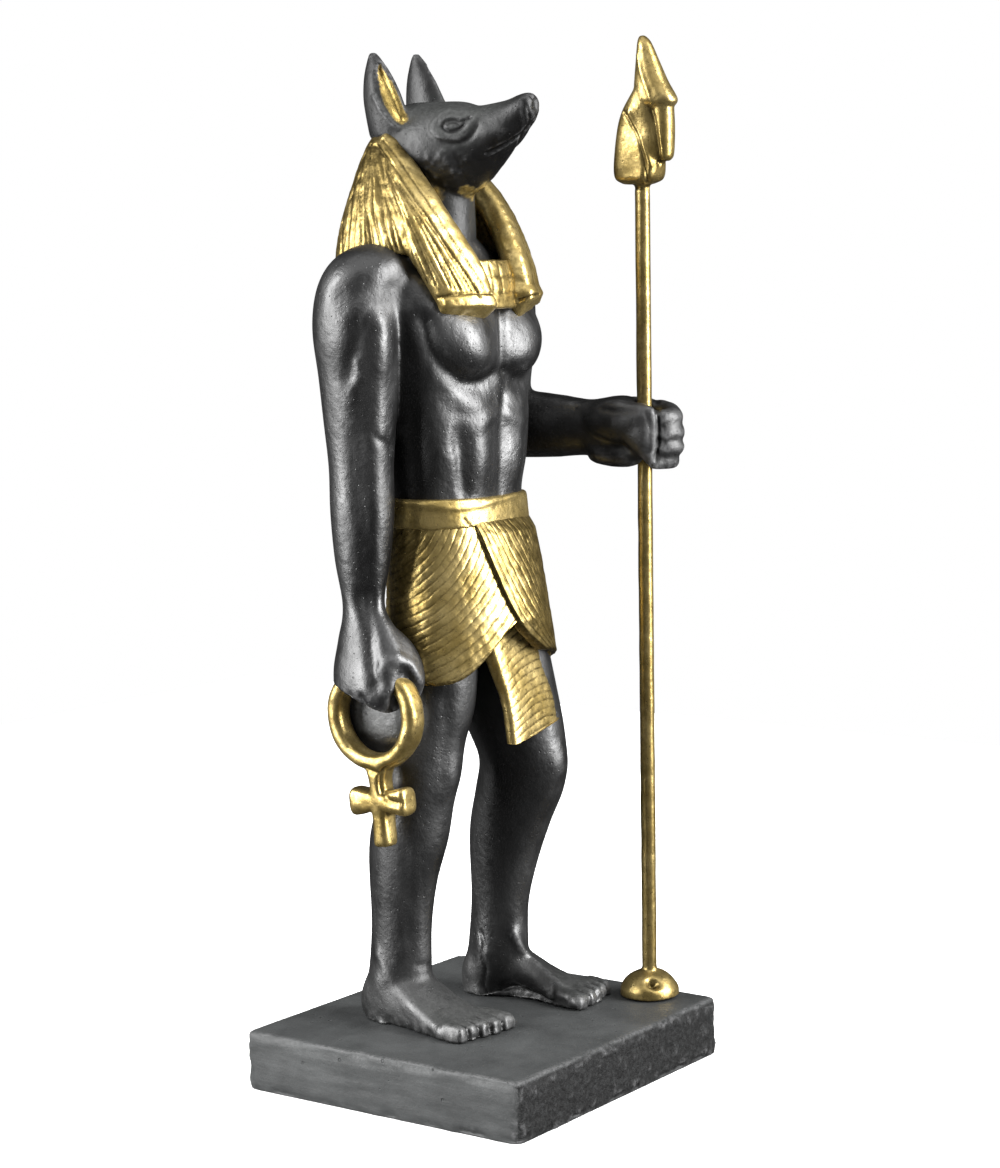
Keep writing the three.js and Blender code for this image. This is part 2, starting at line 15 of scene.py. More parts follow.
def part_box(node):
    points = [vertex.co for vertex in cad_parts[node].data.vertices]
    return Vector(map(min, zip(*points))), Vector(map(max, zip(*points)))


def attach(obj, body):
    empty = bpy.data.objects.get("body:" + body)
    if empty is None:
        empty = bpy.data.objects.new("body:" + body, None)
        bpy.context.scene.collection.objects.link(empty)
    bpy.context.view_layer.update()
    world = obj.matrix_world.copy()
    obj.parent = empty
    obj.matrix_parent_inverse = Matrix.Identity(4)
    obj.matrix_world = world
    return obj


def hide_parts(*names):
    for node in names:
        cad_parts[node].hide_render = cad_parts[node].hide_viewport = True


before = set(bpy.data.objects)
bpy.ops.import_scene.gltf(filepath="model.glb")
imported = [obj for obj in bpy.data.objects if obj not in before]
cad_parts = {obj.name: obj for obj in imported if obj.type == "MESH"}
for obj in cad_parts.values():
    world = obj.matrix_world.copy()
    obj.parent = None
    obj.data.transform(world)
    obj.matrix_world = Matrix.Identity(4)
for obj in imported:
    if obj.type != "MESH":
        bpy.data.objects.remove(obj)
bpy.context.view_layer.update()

bl_info = {
    "name": "Jackal-headed Ornament",
    "version": (1, 0, 0),
    "blender": (4, 5, 0),
    "location": "3D View > Sidebar > Ornament",
    "description": "Sculpts and paints a cast resin ornament around its packed solids",
    "category": "Object",
}

MM = 0.001
TINY = 1e-9
FAR = 1e9
X_AXIS = np.array([1.0, 0.0, 0.0])
Y_AXIS = np.array([0.0, 1.0, 0.0])
Z_AXIS = np.array([0.0, 0.0, 1.0])


def millimetres(corner):
    return np.array(corner) / MM


def in_mm(length):
    """A setting's length in millimetres, rounded as it was typed."""
    return round(length / MM, 4)


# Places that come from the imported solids

PLINTH_LOW, PLINTH_HIGH = (millimetres(corner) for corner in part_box("plinth"))
FIGURE_LOW, _ = (millimetres(corner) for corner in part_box("figure"))
SCEPTRE_LOW, SCEPTRE_HIGH = (millimetres(corner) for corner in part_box("sceptre"))
GROUND = FIGURE_LOW[2]  # the soles
MIDDLE = 2.0  # the figure's own middle plane, in X
ROD_X = (SCEPTRE_LOW[0] + SCEPTRE_HIGH[0]) / 2
ROD_Y = -25.7
ROD_RADIUS = 1.95
ROD_TOP = 229.0

# The photograph: its size, and where its camera stood

IMAGE_WIDTH = 1000
IMAGE_HEIGHT = 1168
FOCAL_PIXELS = 2700
CAMERA_PLACE = np.array([-550.05, -395.28, 204.94])
CAMERA_AZIMUTH = math.radians(-54.71)
CAMERA_ELEVATION = math.radians(6.63)
CAMERA_ROLL = math.radians(-0.73)
SENSOR = 36.0


def camera_axes():
    """The camera's right, up and backward directions."""
    a, e, r = CAMERA_AZIMUTH, CAMERA_ELEVATION, CAMERA_ROLL
    level = np.array([math.cos(a), math.sin(a), 0.0])
    back = np.array([math.sin(a) * math.cos(e), -math.cos(a) * math.cos(e), math.sin(e)])
    lift = np.cross(back, level)
    right = math.cos(r) * level + math.sin(r) * lift
    up = -math.sin(r) * level + math.cos(r) * lift
    return right, up, back


def sight_line(x, y):
    """The direction in which the camera sees a pixel of the photograph."""
    right, up, back = camera_axes()
    across = (x - IMAGE_WIDTH / 2) / FOCAL_PIXELS
    down = (y - IMAGE_HEIGHT / 2) / FOCAL_PIXELS
    return across * right - down * up - back


# Curves and lofted forms

def curve(rows, count):
    """count points along a smooth curve through the rows."""
    rows = np.asarray(rows, float)
    padded = np.vstack([2 * rows[0] - rows[1], rows, 2 * rows[-1] - rows[-2]])
    t = np.linspace(0, len(rows) - 1, count)
    i = np.minimum(t.astype(int), len(rows) - 2)
    w = (t - i)[:, None]
    a, b, c, d = padded[i], padded[i + 1], padded[i + 2], padded[i + 3]
    start, end = (c - a) / 2, (d - b) / 2
    return (2 * b - 2 * c + start + end) * w**3 + (3 * c - 3 * b - 2 * start - end) * w**2 + start * w + b


def unit(vectors):
    return vectors / np.maximum(np.linalg.norm(vectors, axis=-1, keepdims=True), TINY)


def clamp(values):
    return np.clip(values, 0, 1)


def past(values, edge, steepness=1.0):
    """0 below the edge and 1 past it, softly, or the other way round for a negative steepness."""
    return 1 / (1 + np.exp((edge - values) * steepness))


def grooves(phase, width):
    """1 where the phase is a whole number of half turns, and 0 between."""
    return np.exp(-((np.sin(phase) / width) ** 2))


def squared(value, squareness):
    """The superellipse factor: 2 is round, more is squarer."""
    return np.sign(value) * np.abs(value) ** (2 / squareness)


def grid_faces(rows, columns, closed):
    """Quads of a grid of points, closed round its columns or open."""
    r = np.arange(rows - 1)[:, None]
    c = np.arange(columns if closed else columns - 1)[None, :]
    after = (c + 1) % columns
    corners = [r * columns + c, r * columns + after, (r + 1) * columns + after, (r + 1) * columns + c]
    return np.stack([np.broadcast_to(k, (rows - 1, c.shape[1])) for k in corners], -1).reshape(-1, 4)


FINE = 0.4  # millimetres between the rings of a small form


def loft(stations, across=X_AXIS, facing=None, sides=40, spacing=0.7):
    """A closed form along a path. A station is x, y, z, half width, half depth, squareness."""
    rows = np.array([list(s) + [2.0] * (6 - len(s)) for s in stations], float)
    length = np.linalg.norm(np.diff(rows[:, :3], axis=0), axis=1).sum()
    path = curve(rows, max(int(length / spacing), 2 * len(rows)))
    centre = path[:, :3]
    along = unit(np.gradient(centre, axis=0)) if facing is None else np.broadcast_to(facing, centre.shape)
    wide = unit(across - (along @ across)[:, None] * along)
    deep = np.cross(along, wide)
    angle = np.linspace(0, 2 * np.pi, sides, endpoint=False)[None, :]
    square = path[:, 5:6]
    half = np.maximum(path[:, 3:4], 0.2) * squared(np.cos(angle), square)
    depth = np.maximum(path[:, 4:5], 0.2) * squared(np.sin(angle), square)
    ring = centre[:, None] + half[..., None] * wide[:, None] + depth[..., None] * deep[:, None]
    count = len(centre)
    points = np.vstack([ring.reshape(-1, 3), centre[:1], centre[-1:]])
    faces = grid_faces(count, sides, True).tolist()
    for j in range(sides):
        k = (j + 1) % sides
        faces.append([count * sides, k, j])
        faces.append([count * sides + 1, (count - 1) * sides + j, (count - 1) * sides + k])
    return points, faces


def mirrored(rows):
    """The same rows on the other side of the figure's middle plane."""
    return [[2 * MIDDLE - row[0], *row[1:]] for row in rows]


def on_middle(rows):
    return [[MIDDLE + row[0], *row[1:]] for row in rows]


def both_sides(rows):
    return [*rows, *mirrored(rows)]


def with_mirror(path):
    return path, np.array(mirrored(path.tolist()))


# Even, repeatable roughness

GRAIN_SHIFT = 37.3  # moves each seed's pattern away from the others
GRAIN_PRIMES = np.array([73856093, 19349663, 83492791])
GRAIN_SEED = 2654435761
GRAIN_MIX = 1274126177
GRAIN_LEVELS = 0xFFFF


def grain(points, size, seed=0):
    """Smooth random values from -1 to 1 at the points, in lumps of the given size."""
    p = points / size + GRAIN_SHIFT * (seed + 1)
    cell = np.floor(p).astype(np.int64)
    w = p - cell
    w = w * w * (3 - 2 * w)
    total = np.zeros(len(points))
    for corner in range(8):
        step = np.array([corner & 1, corner >> 1 & 1, corner >> 2 & 1])
        key = (cell + step) @ GRAIN_PRIMES + seed * GRAIN_SEED
        key = (key ^ (key >> 13)) * GRAIN_MIX
        value = ((key ^ (key >> 16)) & GRAIN_LEVELS) / (GRAIN_LEVELS / 2) - 1
        total += value * np.prod(np.where(step, w, 1 - w), axis=1)
    return total


def roughness_of(points, *layers):
    """The sum of grains, each given as a height, a size and a seed."""
    return sum(height * grain(points, size, seed) for height, size, seed in layers)


# Clay, and the marks on it that the paint follows

SIGHT_DENSITY = 5  # points of a path for each place that it is drawn through
RELIEF_GAIN = 14  # how much the bend of the skin counts as hollow or proud
HOLLOW_FROM = 0.25
PROUD_FROM = 0.5


class Clay:
    """A mesh of quads held as arrays, which can be smoothed, carved and marked."""

    def __init__(self, points, quads):
        self.points = points
        self.quads = quads
        self.marks = {}

    @classmethod
    def cast(cls, forms, detail):
        """Joins closed forms into one skin of even quads, whose width is the detail."""
        points, faces = [], []
        for part_points, part_faces in forms:
            faces += [[i + len(points) for i in face] for face in part_faces]
            points += part_points.tolist()
        mesh = bpy.data.meshes.new("raw_form")
        mesh.from_pydata(points, [], faces)
        holder = bpy.data.objects.new("raw_form", mesh)
        bpy.context.scene.collection.objects.link(holder)
        remesh = holder.modifiers.new("cast", "REMESH")
        remesh.mode = "VOXEL"
        remesh.voxel_size = in_mm(detail)
        bpy.context.view_layer.update()
        skin = holder.evaluated_get(bpy.context.evaluated_depsgraph_get()).to_mesh()
        place = np.zeros(len(skin.vertices) * 3)
        skin.vertices.foreach_get("co", place)
        corners = np.zeros(len(skin.loops), np.int64)
        skin.loops.foreach_get("vertex_index", corners)
        quads = corners.reshape(-1, 4)
        bpy.data.objects.remove(holder)
        bpy.data.meshes.remove(mesh)
        return cls(place.reshape(-1, 3), quads)

    def gather(self, values, index):
        """Sums a value of each face or edge onto the vertex at its index."""
        return np.stack([np.bincount(index, values[:, k], len(self.points)) for k in range(3)], 1)

    def normals(self):
        p, q = self.points, self.quads
        face = np.cross(p[q[:, 2]] - p[q[:, 0]], p[q[:, 3]] - p[q[:, 1]])
        return unit(sum(self.gather(face, q[:, k]) for k in range(4)))

    def edges(self):
        q = self.quads
        start = np.concatenate([q[:, 0], q[:, 1], q[:, 2], q[:, 3]])
        end = np.concatenate([q[:, 1], q[:, 2], q[:, 3], q[:, 0]])
        return np.concatenate([start, end]), np.concatenate([end, start])

    def smooth(self, rounds, where=1.0, amount=0.5):
        """Draws every vertex towards its neighbours. where can be a weight for each vertex."""
        start, end = self.edges()
        degree = np.bincount(start, minlength=len(self.points))[:, None]
        weight = amount * (where[:, None] if isinstance(where, np.ndarray) else where)
        for _ in range(rounds):
            mean = self.gather(self.points[end], start) / degree
            self.points = self.points + weight * (mean - self.points)

    def spread(self, values, rounds):
        """The same softening for a value of each vertex."""
        start, end = self.edges()
        degree = np.bincount(start, minlength=len(self.points))
        for _ in range(rounds):
            values = 0.5 * values + 0.5 * np.bincount(start, values[end], len(self.points)) / degree
        return values

    def around(self, place, reach):
        """1 at a place, falling softly to 0 beyond its reach, which can differ along X, Y and Z."""
        return np.exp(-(((self.points - place) / reach) ** 2).sum(1))

    def raise_by(self, height):
        self.points = self.points + self.normals() * height[:, None]

    def swell(self, rows):
        """Raises a soft lump for each row: x, y, z, reach in x, y and z, height."""
        height = np.zeros(len(self.points))
        for x, y, z, rx, ry, rz, lift in rows:
            height += lift * self.around((x, y, z), (rx, ry, rz))
        self.raise_by(height)

    def nearness(self, path, reach, flatness=2):
        """1 on the path, falling to 0 beyond its reach, which can be one number or one for each point."""
        reaches = np.broadcast_to(np.asarray(reach, float), (len(path),))
        margin = 3 * reaches.max()
        low, high = path.min(0) - margin, path.max(0) + margin
        near = np.flatnonzero(((self.points > low) & (self.points < high)).all(1))
        p = self.points[near]
        best = np.full(len(near), FAR)
        for a, b, start, end in zip(path[:-1], path[1:], reaches[:-1], reaches[1:]):
            t = np.clip((p - a) @ (b - a) / max((b - a) @ (b - a), TINY), 0, 1)
            away = np.linalg.norm(p - a - t[:, None] * (b - a), axis=1)
            best = np.minimum(best, away / (start + t * (end - start)))
        found = np.zeros(len(self.points))
        found[near] = np.exp(-(best**flatness))
        return found

    def carve(self, strokes, marked_dark=False):
        """Cuts each stroke: its path, its half width and its depth. A negative depth raises a ridge."""
        cut, ridge = np.zeros((2, len(self.points)))
        dark_share = self.marks.get("engraved_and_shade", np.zeros(len(self.points)))
        for path, reach, depth in strokes:
            share = self.nearness(np.asarray(path, float), reach)
            cut = np.maximum(cut, depth * share)
            ridge = np.maximum(ridge, -depth * share)
            dark_share = np.maximum(dark_share, share)
        # strokes marked dark show as dark lines in the paint, and as painted shade in creases, gaps and
        # holes
        if marked_dark:
            self.marks["engraved_and_shade"] = dark_share
        self.raise_by(ridge - cut)

    def skin(self):
        """A tree of the skin's faces as they are now, to cast rays at."""
        return BVHTree.FromPolygons(self.points.tolist(), self.quads.tolist())

    def seen(self, pixels, tree):
        """The path on the skin's tree that the camera sees along a line of places in the photograph."""
        line = curve(pixels, SIGHT_DENSITY * len(pixels)) if len(pixels) > 1 else np.array(pixels, float)
        hits = [tree.ray_cast(Vector(CAMERA_PLACE), Vector(sight_line(*pixel)))[0] for pixel in line]
        return np.array([hit[:] for hit in hits if hit is not None])

    def draw(self, strokes, pair=False, marked_dark=False):
        """Carves strokes placed in the photograph, and with pair their mirror images too."""
        tree = self.skin()
        cuts = []
        for pixels, reach, depth in strokes:
            path = self.seen(pixels, tree)
            if len(path) > 1:
                cuts += [(side, reach, depth) for side in (with_mirror(path) if pair else [path])]
        self.carve(cuts, marked_dark)

    def mark_relief(self):
        """Notes how hollow or how proud each vertex lies, for the paint: hollows are darkened, as painted
        shade on the resin, and proud places show wear.
        """
        start, end = self.edges()
        degree = np.bincount(start, minlength=len(self.points))[:, None]
        mean = self.gather(self.points[end], start) / degree
        bend = ((mean - self.points) * self.normals()).sum(1)
        half = len(start) // 2
        scale = np.linalg.norm(self.points[start[:half]] - self.points[end[:half]], axis=1).mean()
        bend = RELIEF_GAIN * self.spread(bend, 3) / scale
        self.marks["hollow"] = clamp(bend - HOLLOW_FROM)
        self.marks["proud"] = clamp(-bend - PROUD_FROM)

    def fire(self, name, material, node, slot, aged_and_shade=0.0):
        """Makes the object, rides it on the body and lets it stand for its solid."""
        self.mark_relief()
        self.marks.setdefault("aged_and_shade", np.full(len(self.points), aged_and_shade))
        mesh = bpy.data.meshes.new(name)
        mesh.vertices.add(len(self.points))
        mesh.vertices.foreach_set("co", (self.points * MM).astype(np.float32).ravel())
        mesh.loops.add(self.quads.size)
        mesh.loops.foreach_set("vertex_index", self.quads.astype(np.int32).ravel())
        mesh.polygons.add(len(self.quads))
        mesh.polygons.foreach_set("loop_start", np.arange(0, self.quads.size, 4, dtype=np.int32))
        mesh.update(calc_edges=True)
        mesh.shade_smooth()
        for mark, values in self.marks.items():
            layer = mesh.attributes.new(mark, "FLOAT", "POINT")
            layer.data.foreach_set("value", values.astype(np.float32))
        mesh.materials.append(material)
        piece = bpy.data.objects.new(name, mesh)
        bpy.context.scene.collection.objects.link(piece)
        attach(piece, "root")
        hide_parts(node)
        return piece


# The looped cross's own sizes, which the fist needs as well

LOOP = {"x": -28.9, "y": 11.9, "z": 95.8, "radius": 11.6, "band": 4.2, "thick": 6.6, "lean": -4.7}
CROSS = {"span": 17.2, "arm_height": 6.6, "arm_drop": 21.4, "foot_drop": 32.6, "width": 4.6}


def leaning(points):
    """Moves points of the cross, made upright about its loop's centre, to where it leans in the fist."""
    lean = math.radians(LOOP["lean"])
    x, y, z = np.asarray(points, float).T
    return np.stack([
        x + LOOP["x"],
        y * math.cos(lean) - z * math.sin(lean) + LOOP["y"],
        y * math.sin(lean) + z * math.cos(lean) + LOOP["z"],
    ], 1)


def ring_path(start, end):
    """The middle line of the loop between two turns from its top, in degrees, towards the front below 0."""
    turn = np.radians(np.linspace(start, end, 12))
    return leaning(np.stack([0 * turn, LOOP["radius"] * np.sin(turn), LOOP["radius"] * np.cos(turn)], 1))


# Torso, neck and arms

TORSO = on_middle([
    [0, 7, 118, 19, 13, 2.2],
    [0, 7.4, 130, 20.5, 13.6, 2.2],
    [0, 8, 147, 20.2, 12.5, 2.3],
    [0, 8, 158, 21, 13, 2.7],
    [0, 7.8, 170, 22.2, 12.7, 2.5],
    [0, 7.6, 180, 24, 13.2, 2.5],
    [0, 8, 190, 25.5, 13.6, 2.6],
    [0, 10.6, 200, 27, 13, 2.5],
    [0, 12.6, 207, 22, 11, 2.2],
    [0, 13, 212, 12.5, 9.4, 2],
    [0, 13.4, 216, 8, 7, 2],
])
CHEST_AND_BELLY = [
    *both_sides([
        [MIDDLE - 12, -5, 188, 8.5, 8, 7.5, 3],
        [MIDDLE - 20.5, -6, 189, 5, 6, 8, 0.8],
        [MIDDLE - 9.5, -6, 183, 6.5, 6, 4.5, 1.2],
        [MIDDLE - 10, -5, 175.8, 9, 7, 2.6, -0.9],
        [MIDDLE - 9, -5, 170.6, 8, 8, 4, 1.2],
        [MIDDLE - 7.5, -5, 160, 4.2, 7, 9, 1.4],
        [MIDDLE - 14.6, 0, 158, 3, 7, 10, -0.8],
        [MIDDLE - 18, 3, 166, 4, 7, 10, 0.6],
        [MIDDLE - 13, 23, 190, 8, 6, 12, 1.2],
        [MIDDLE - 6, 20, 158, 4, 6, 16, 0.8],
        [-38, 15, 195, 6, 8, 11, 0.7],
        [-31, 6, 186, 6, 5, 8, 0.9],
    ]),
    [MIDDLE, 21, 180, 3, 8, 26, -1.4],
]
RIGHT_ARM = [
    [-12, 13.2, 202, 7, 6.5],
    [-20, 14.6, 204.4, 9.2, 7.6],
    [-26.4, 16, 201, 10.4, 9.4],
    [-28, 16.6, 192, 10.6, 9.2, 2.4],
    [-27.6, 16.5, 180, 9.8, 8.4, 2.4],
    [-27.2, 16.4, 168, 9, 7.8, 2.4],
    [-27, 16.4, 157, 8, 7.2, 2.4],
    [-27, 16.3, 146, 8.1, 6.9, 2.4],
    [-27.4, 16.2, 134, 7, 6, 2.4],
    [-27.8, 15.8, 123, 5.6, 4.8],
    [-28, 14.8, 116.5, 8, 5.4],
    [-28.3, 13.4, 110, 10.4, 6.4, 2.3],
    [-28.6, 12.4, 105, 10.8, 7.1, 2.5],
    [-28.6, 12, 101, 10.6, 7, 2.7],
    [-28.2, 10.8, 97.6, 8.6, 6.4, 2.7],
    [-27, 9, 95, 5, 4.4, 2.4],
]
RIGHT_THUMB = [
    [-26.2, 9.6, 115.6, 3, 3, 2.6],
    [-25.4, 6.8, 111, 4, 3.8, 3],
    [-25.4, 4.2, 106, 3.9, 3.8, 3],
    [-25.8, 3.2, 101.4, 2.8, 2.8, 2.6],
    [-26, 3.4, 99, 1.4, 1.4],
]
LEFT_UPPER_ARM = [
    [16, 13.2, 202, 7, 6.5],
    [24, 14.6, 203.6, 9.2, 7.6],
    [30.2, 16, 200.5, 10.4, 9.4],
    [31.6, 16.6, 192, 10.4, 9.2],
    [31.8, 16.8, 180, 9.6, 8.2],
    [32.6, 17.2, 170, 9, 7.8],
    [33.2, 17, 163, 8.6, 7.6],
    [33.4, 17, 158, 5.6, 5],
]
LEFT_FOREARM = [
    [33.3, 22, 164, 5.6, 6],
    [33.4, 17, 164.4, 7.6, 8.4],
    [34, 8, 164.6, 7.8, 8.8],
    [34.8, -2, 164.4, 6.9, 8.2],
    [35.4, -10, 164.2, 5.8, 7.4],
    [36, -16, 164, 6.2, 8.3, 2.3],
    [36.6, -20, 164, 6, 8.6, 2.4],
    [37.4, -23, 163.8, 4.6, 7.8, 2.4],
]
LEFT_HAND_BACK = [
    [39, -12, 164, 4, 7],
    [41.6, -18, 163.6, 3.4, 8.6, 2.4],
    [42.8, -24, 163, 2.8, 8.8, 2.6],
    [42.6, -29, 163, 2.4, 8.2, 2.6],
]
KNUCKLE_LINE = -28  # the fingers reach forwards in front of this Y
# Fingers from the index down: height, reach to the front, thickness, tilt
LEFT_FINGERS = [
    (167.9, -1, 1.14, 1.1),
    (163.6, 0, 0.96, 0.5),
    (159.7, -0.1, 0.92, 0.2),
    (155.8, -1.4, 0.86, 0),
]
LEFT_FINGER = [
    [42.6, -26, 1, 2.25, 2.4],
    [42, -31, 0.2, 2.4, 2.5],
    [39.4, -33.8, -0.8, 2.35, 2.5],
    [36.4, -33.8, -1, 2.3, 2.4],
    [34.6, -32.8, -1.2, 2.2, 2.2],
    [33.8, -32, -1.2, 1.4, 1.6],
]
LEFT_THENAR = [
    [33.2, -24, 171, 2.2, 4.4],
    [32.4, -25.6, 168, 3, 6, 2.4],
    [32.2, -26.8, 163, 3.2, 5.4, 2.4],
    [32.8, -28.6, 159, 2.8, 3.6, 2.4],
    [33.6, -30.6, 156, 2.4, 2.2, 2.2],
    [34, -31.4, 154, 1.6, 1.6],
]
LEFT_THUMB = [
    [32.6, -11, 166, 2.4, 2.8],
    [31.2, -16, 166.4, 4.4, 3.2],
    [31, -20, 166.4, 5.4, 3.4],
    [31.4, -24, 166.4, 5.2, 3.4],
    [31.8, -27.4, 167, 4, 3],
    [32.6, -30.4, 167.4, 2.9, 2.4],
    [33.2, -31.8, 167, 1.4, 1.5],
]
LEFT_PALM_EDGE = [
    [33.6, -12, 158.2, 3, 3],
    [33.2, -17, 157.6, 3.4, 3.2],
    [33.6, -21.4, 157.2, 3.2, 3],
    [34, -24.4, 157.4, 2.8, 2.8],
    [34.6, -26.6, 157.6, 1.6, 1.8],
]

WRIST_Z = 119  # the right hand is below this, and the left one lies past the next two
LEFT_WRIST_Y = -15
LEFT_HAND_X = 25
SHOULDER_FRONT = (-29, 6, 204)  # where the shoulder runs softly into the chest
SHOULDER_REACH = 7
FIST_BOTTOM = (-34, 5.5, 97.4)  # the lowest corner of the right fist, which rises towards the back
FIST_SLANT = 0.42
FIST_TOP = 112
FIST_WIDTH = 14
KNUCKLES = (38, -33, 163)  # the left fist's rough front
KNUCKLES_REACH = (7, 6, 9)
SHOULDER_BAND = (-32, 5, 199)  # the rough dent under the shoulder's front
SHOULDER_BAND_REACH = (8, 8, 3.4)
SHOULDER_DENT = 0.8
FLANK = {"x": MIDDLE - 13, "fade": 4, "top": 178, "top_fade": 10, "arm_x": -29, "low": 125}  # the torso's side by the arm, which gets painted shade
RING_SOCKET = 1.3  # the hollow that the cross's loop sits in
RING_SOCKET_REACH = 4.6
RING_SOCKET_SPAN = (-75, -22)

# Strokes on the torso: a line of places in the photograph, half width and depth
CHEST_STROKES = [
    ([(424, 322), (432, 350), (445, 369), (463, 381), (480, 382), (494, 375)], 2, 1.3),
    ([(446, 404), (458, 413), (474, 415), (488, 410), (496, 404)], 2.2, 0.5),
    ([(463, 431), (478, 427), (494, 414)], 2, -0.45),
    ([(460, 432), (461, 455), (463, 492)], 2, 0.7),
    ([(454, 460), (455, 478), (457, 496)], 1.6, -0.35),
]
MIDLINE_STROKES = [
    ([(501, 306), (502, 330), (503, 372)], 1.3, 1.2),
    ([(503, 396), (501, 440), (500, 494)], 1.6, 0.5),
]
ARM_STROKES = [
    ([(386, 306), (368, 316), (357, 345), (348, 378)], 2.4, 0.9),
    ([(344, 294), (364, 291), (384, 291), (400, 293)], 3.6, 0.9),
    ([(369, 330), (366, 360), (363, 400), (363, 430)], 3, 0.6),
    ([(382, 316), (384, 340), (382, 366)], 3.4, -0.35),
    ([(355, 362), (362, 379)], 1, -0.4),
    ([(369, 431), (380, 441), (391, 447)], 0.9, 0.5),
    ([(358, 436), (360, 475), (362, 520), (364, 570), (366, 600)], 3, 0.8),
]
RIGHT_HAND_STROKES = [
    ([(366, 596), (369, 625), (371, 655), (376, 684)], 1.9, 0.8),
    ([(379, 672), (388, 661), (400, 658), (412, 668), (419, 680)], 1.5, -0.5),
    ([(349, 694), (352, 702)], 0.5, 0.4),
    ([(361, 696), (366, 706)], 0.5, 0.4),
]
LEFT_HAND_STROKES = [
    ([(657, 410), (659, 425), (659, 445), (656, 460)], 0.6, 0.9),
    ([(602, 409), (614, 411), (632, 411)], 1, 0.4),
    ([(654, 398), (658, 402)], 0.7, 0.8),
    ([(646, 412), (650, 430), (649, 450)], 0.8, 0.4),
]


def make_fingers():
    """The left fist's four fingers, which are one shape at four heights."""
    return [
        loft([
            [x, y - reach * (y < KNUCKLE_LINE), height + tilt * lift, a * size, b * size]
            for x, y, lift, a, b in LEFT_FINGER
        ], across=Z_AXIS, spacing=FINE, sides=24)
        for height, reach, size, tilt in LEFT_FINGERS
    ]


def make_torso(sizes):
    clay = Clay.cast([
        loft(TORSO, facing=Z_AXIS, sides=72),
        loft(RIGHT_ARM, across=Y_AXIS),
        loft(RIGHT_THUMB, across=Y_AXIS, sides=24),
        loft(LEFT_UPPER_ARM, across=Y_AXIS),
        loft(LEFT_FOREARM),
        loft(LEFT_HAND_BACK),
        loft(LEFT_PALM_EDGE, sides=24),
        loft(LEFT_THUMB, across=Z_AXIS, sides=24),
        loft(LEFT_THENAR, facing=Z_AXIS, sides=24),
        *make_fingers(),
    ], sizes.skin_detail)
    x, y, z = clay.points.T
    hands = np.maximum(past(z, WRIST_Z, -0.5), past(y, LEFT_WRIST_Y, -0.7) * (x > LEFT_HAND_X))
    clay.smooth(14, 1 - hands)
    clay.smooth(3)
    clay.swell(CHEST_AND_BELLY)
    clay.draw(CHEST_STROKES, pair=True)
    clay.draw(MIDLINE_STROKES)
    clay.smooth(24, clay.around(SHOULDER_FRONT, SHOULDER_REACH))
    clay.draw(ARM_STROKES)
    band = clay.around(SHOULDER_BAND, SHOULDER_BAND_REACH)
    clay.raise_by(-SHOULDER_DENT * band)
    x, y, z = clay.points.T
    # painted shade on the torso's side between it and the arm
    flank = clamp((FLANK["x"] - x) / FLANK["fade"]) * clamp((FLANK["top"] - z) / FLANK["top_fade"])
    clay.marks["engraved_and_shade"] = flank * (x > FLANK["arm_x"]) * (z > FLANK["low"])
    underside = FIST_BOTTOM[2] + FIST_SLANT * (y - FIST_BOTTOM[1])
    in_fist = (z < FIST_TOP) & (x < FIST_BOTTOM[0] + FIST_WIDTH)
    clay.points[:, 2] = np.where(in_fist, np.maximum(z, underside), z)
    clay.smooth(2)
    clay.draw(RIGHT_HAND_STROKES)
    clay.raise_by(-RING_SOCKET * clay.nearness(ring_path(*RING_SOCKET_SPAN), RING_SOCKET_REACH, 6))
    clay.draw(LEFT_HAND_STROKES)
    knuckles = clay.around(KNUCKLES, KNUCKLES_REACH)
    clay.raise_by(knuckles * roughness_of(clay.points, (0.16, 2.3, 71), (0.12, 1.2, 72)))
    clay.marks["aged_and_shade"] = clamp(1.2 * (knuckles + band))
    clay.smooth(3, 1 - 0.7 * hands)
    return clay


# Head and ears

HEAD = on_middle([
    [0, 27.6, 236, 5.5, 5.5],
    [0, 25.4, 236.4, 9.4, 8.6],
    [0, 20, 236.2, 11.8, 10.8],
    [0, 12, 235.4, 12, 11.6],
    [0, 5, 235, 11, 11.8],
    [0, 0, 235.6, 8.6, 10],
    [0, -5, 237.9, 6.6, 8.1],
    [0, -9.6, 240.7, 5.4, 6],
    [0, -13, 243, 4.6, 4.8],
    [0, -15.6, 244.4, 3.8, 3.7],
    [0, -16.8, 244.8, 2.2, 2.2],
])
NECK = on_middle([
    [0, 12.8, 196, 8.4, 8, 2],
    [0, 13, 206, 9, 8.6, 2],
    [0, 13, 213, 9.6, 9.4, 2],
    [0, 13.4, 221, 9.6, 9.6, 2],
    [0, 14.6, 232, 10.5, 10.5, 2],
])
RIGHT_EAR = [
    [-7, 21, 238, 5.8, 3.4],
    [-7.4, 21.4, 243, 6.2, 3.6],
    [-7.4, 22.6, 248, 5.8, 3.5],
    [-7.2, 24.2, 253.4, 4.1, 2.7],
    [-7, 25.5, 257.6, 2, 1.5],
    [-7, 26, 259.4, 0.8, 0.8],
]
LEFT_EAR = [
    [11, 20, 238, 9, 3.4],
    [11.4, 21, 243, 8.4, 3.4],
    [11.4, 22.8, 248, 6.6, 3.3],
    [11.2, 24.2, 253.4, 4.6, 2.7],
    [11, 25.5, 258, 2.1, 1.5],
    [11, 26, 260, 0.8, 0.8],
]
BROWS = both_sides([
    [MIDDLE - 8, 4, 243.5, 4, 6, 2.6, 1],
    [MIDDLE - 9, 3, 239.4, 3, 4.4, 2.4, -0.35],
    [MIDDLE - 5, -11, 239, 2, 2.4, 1.6, 0.5],
])
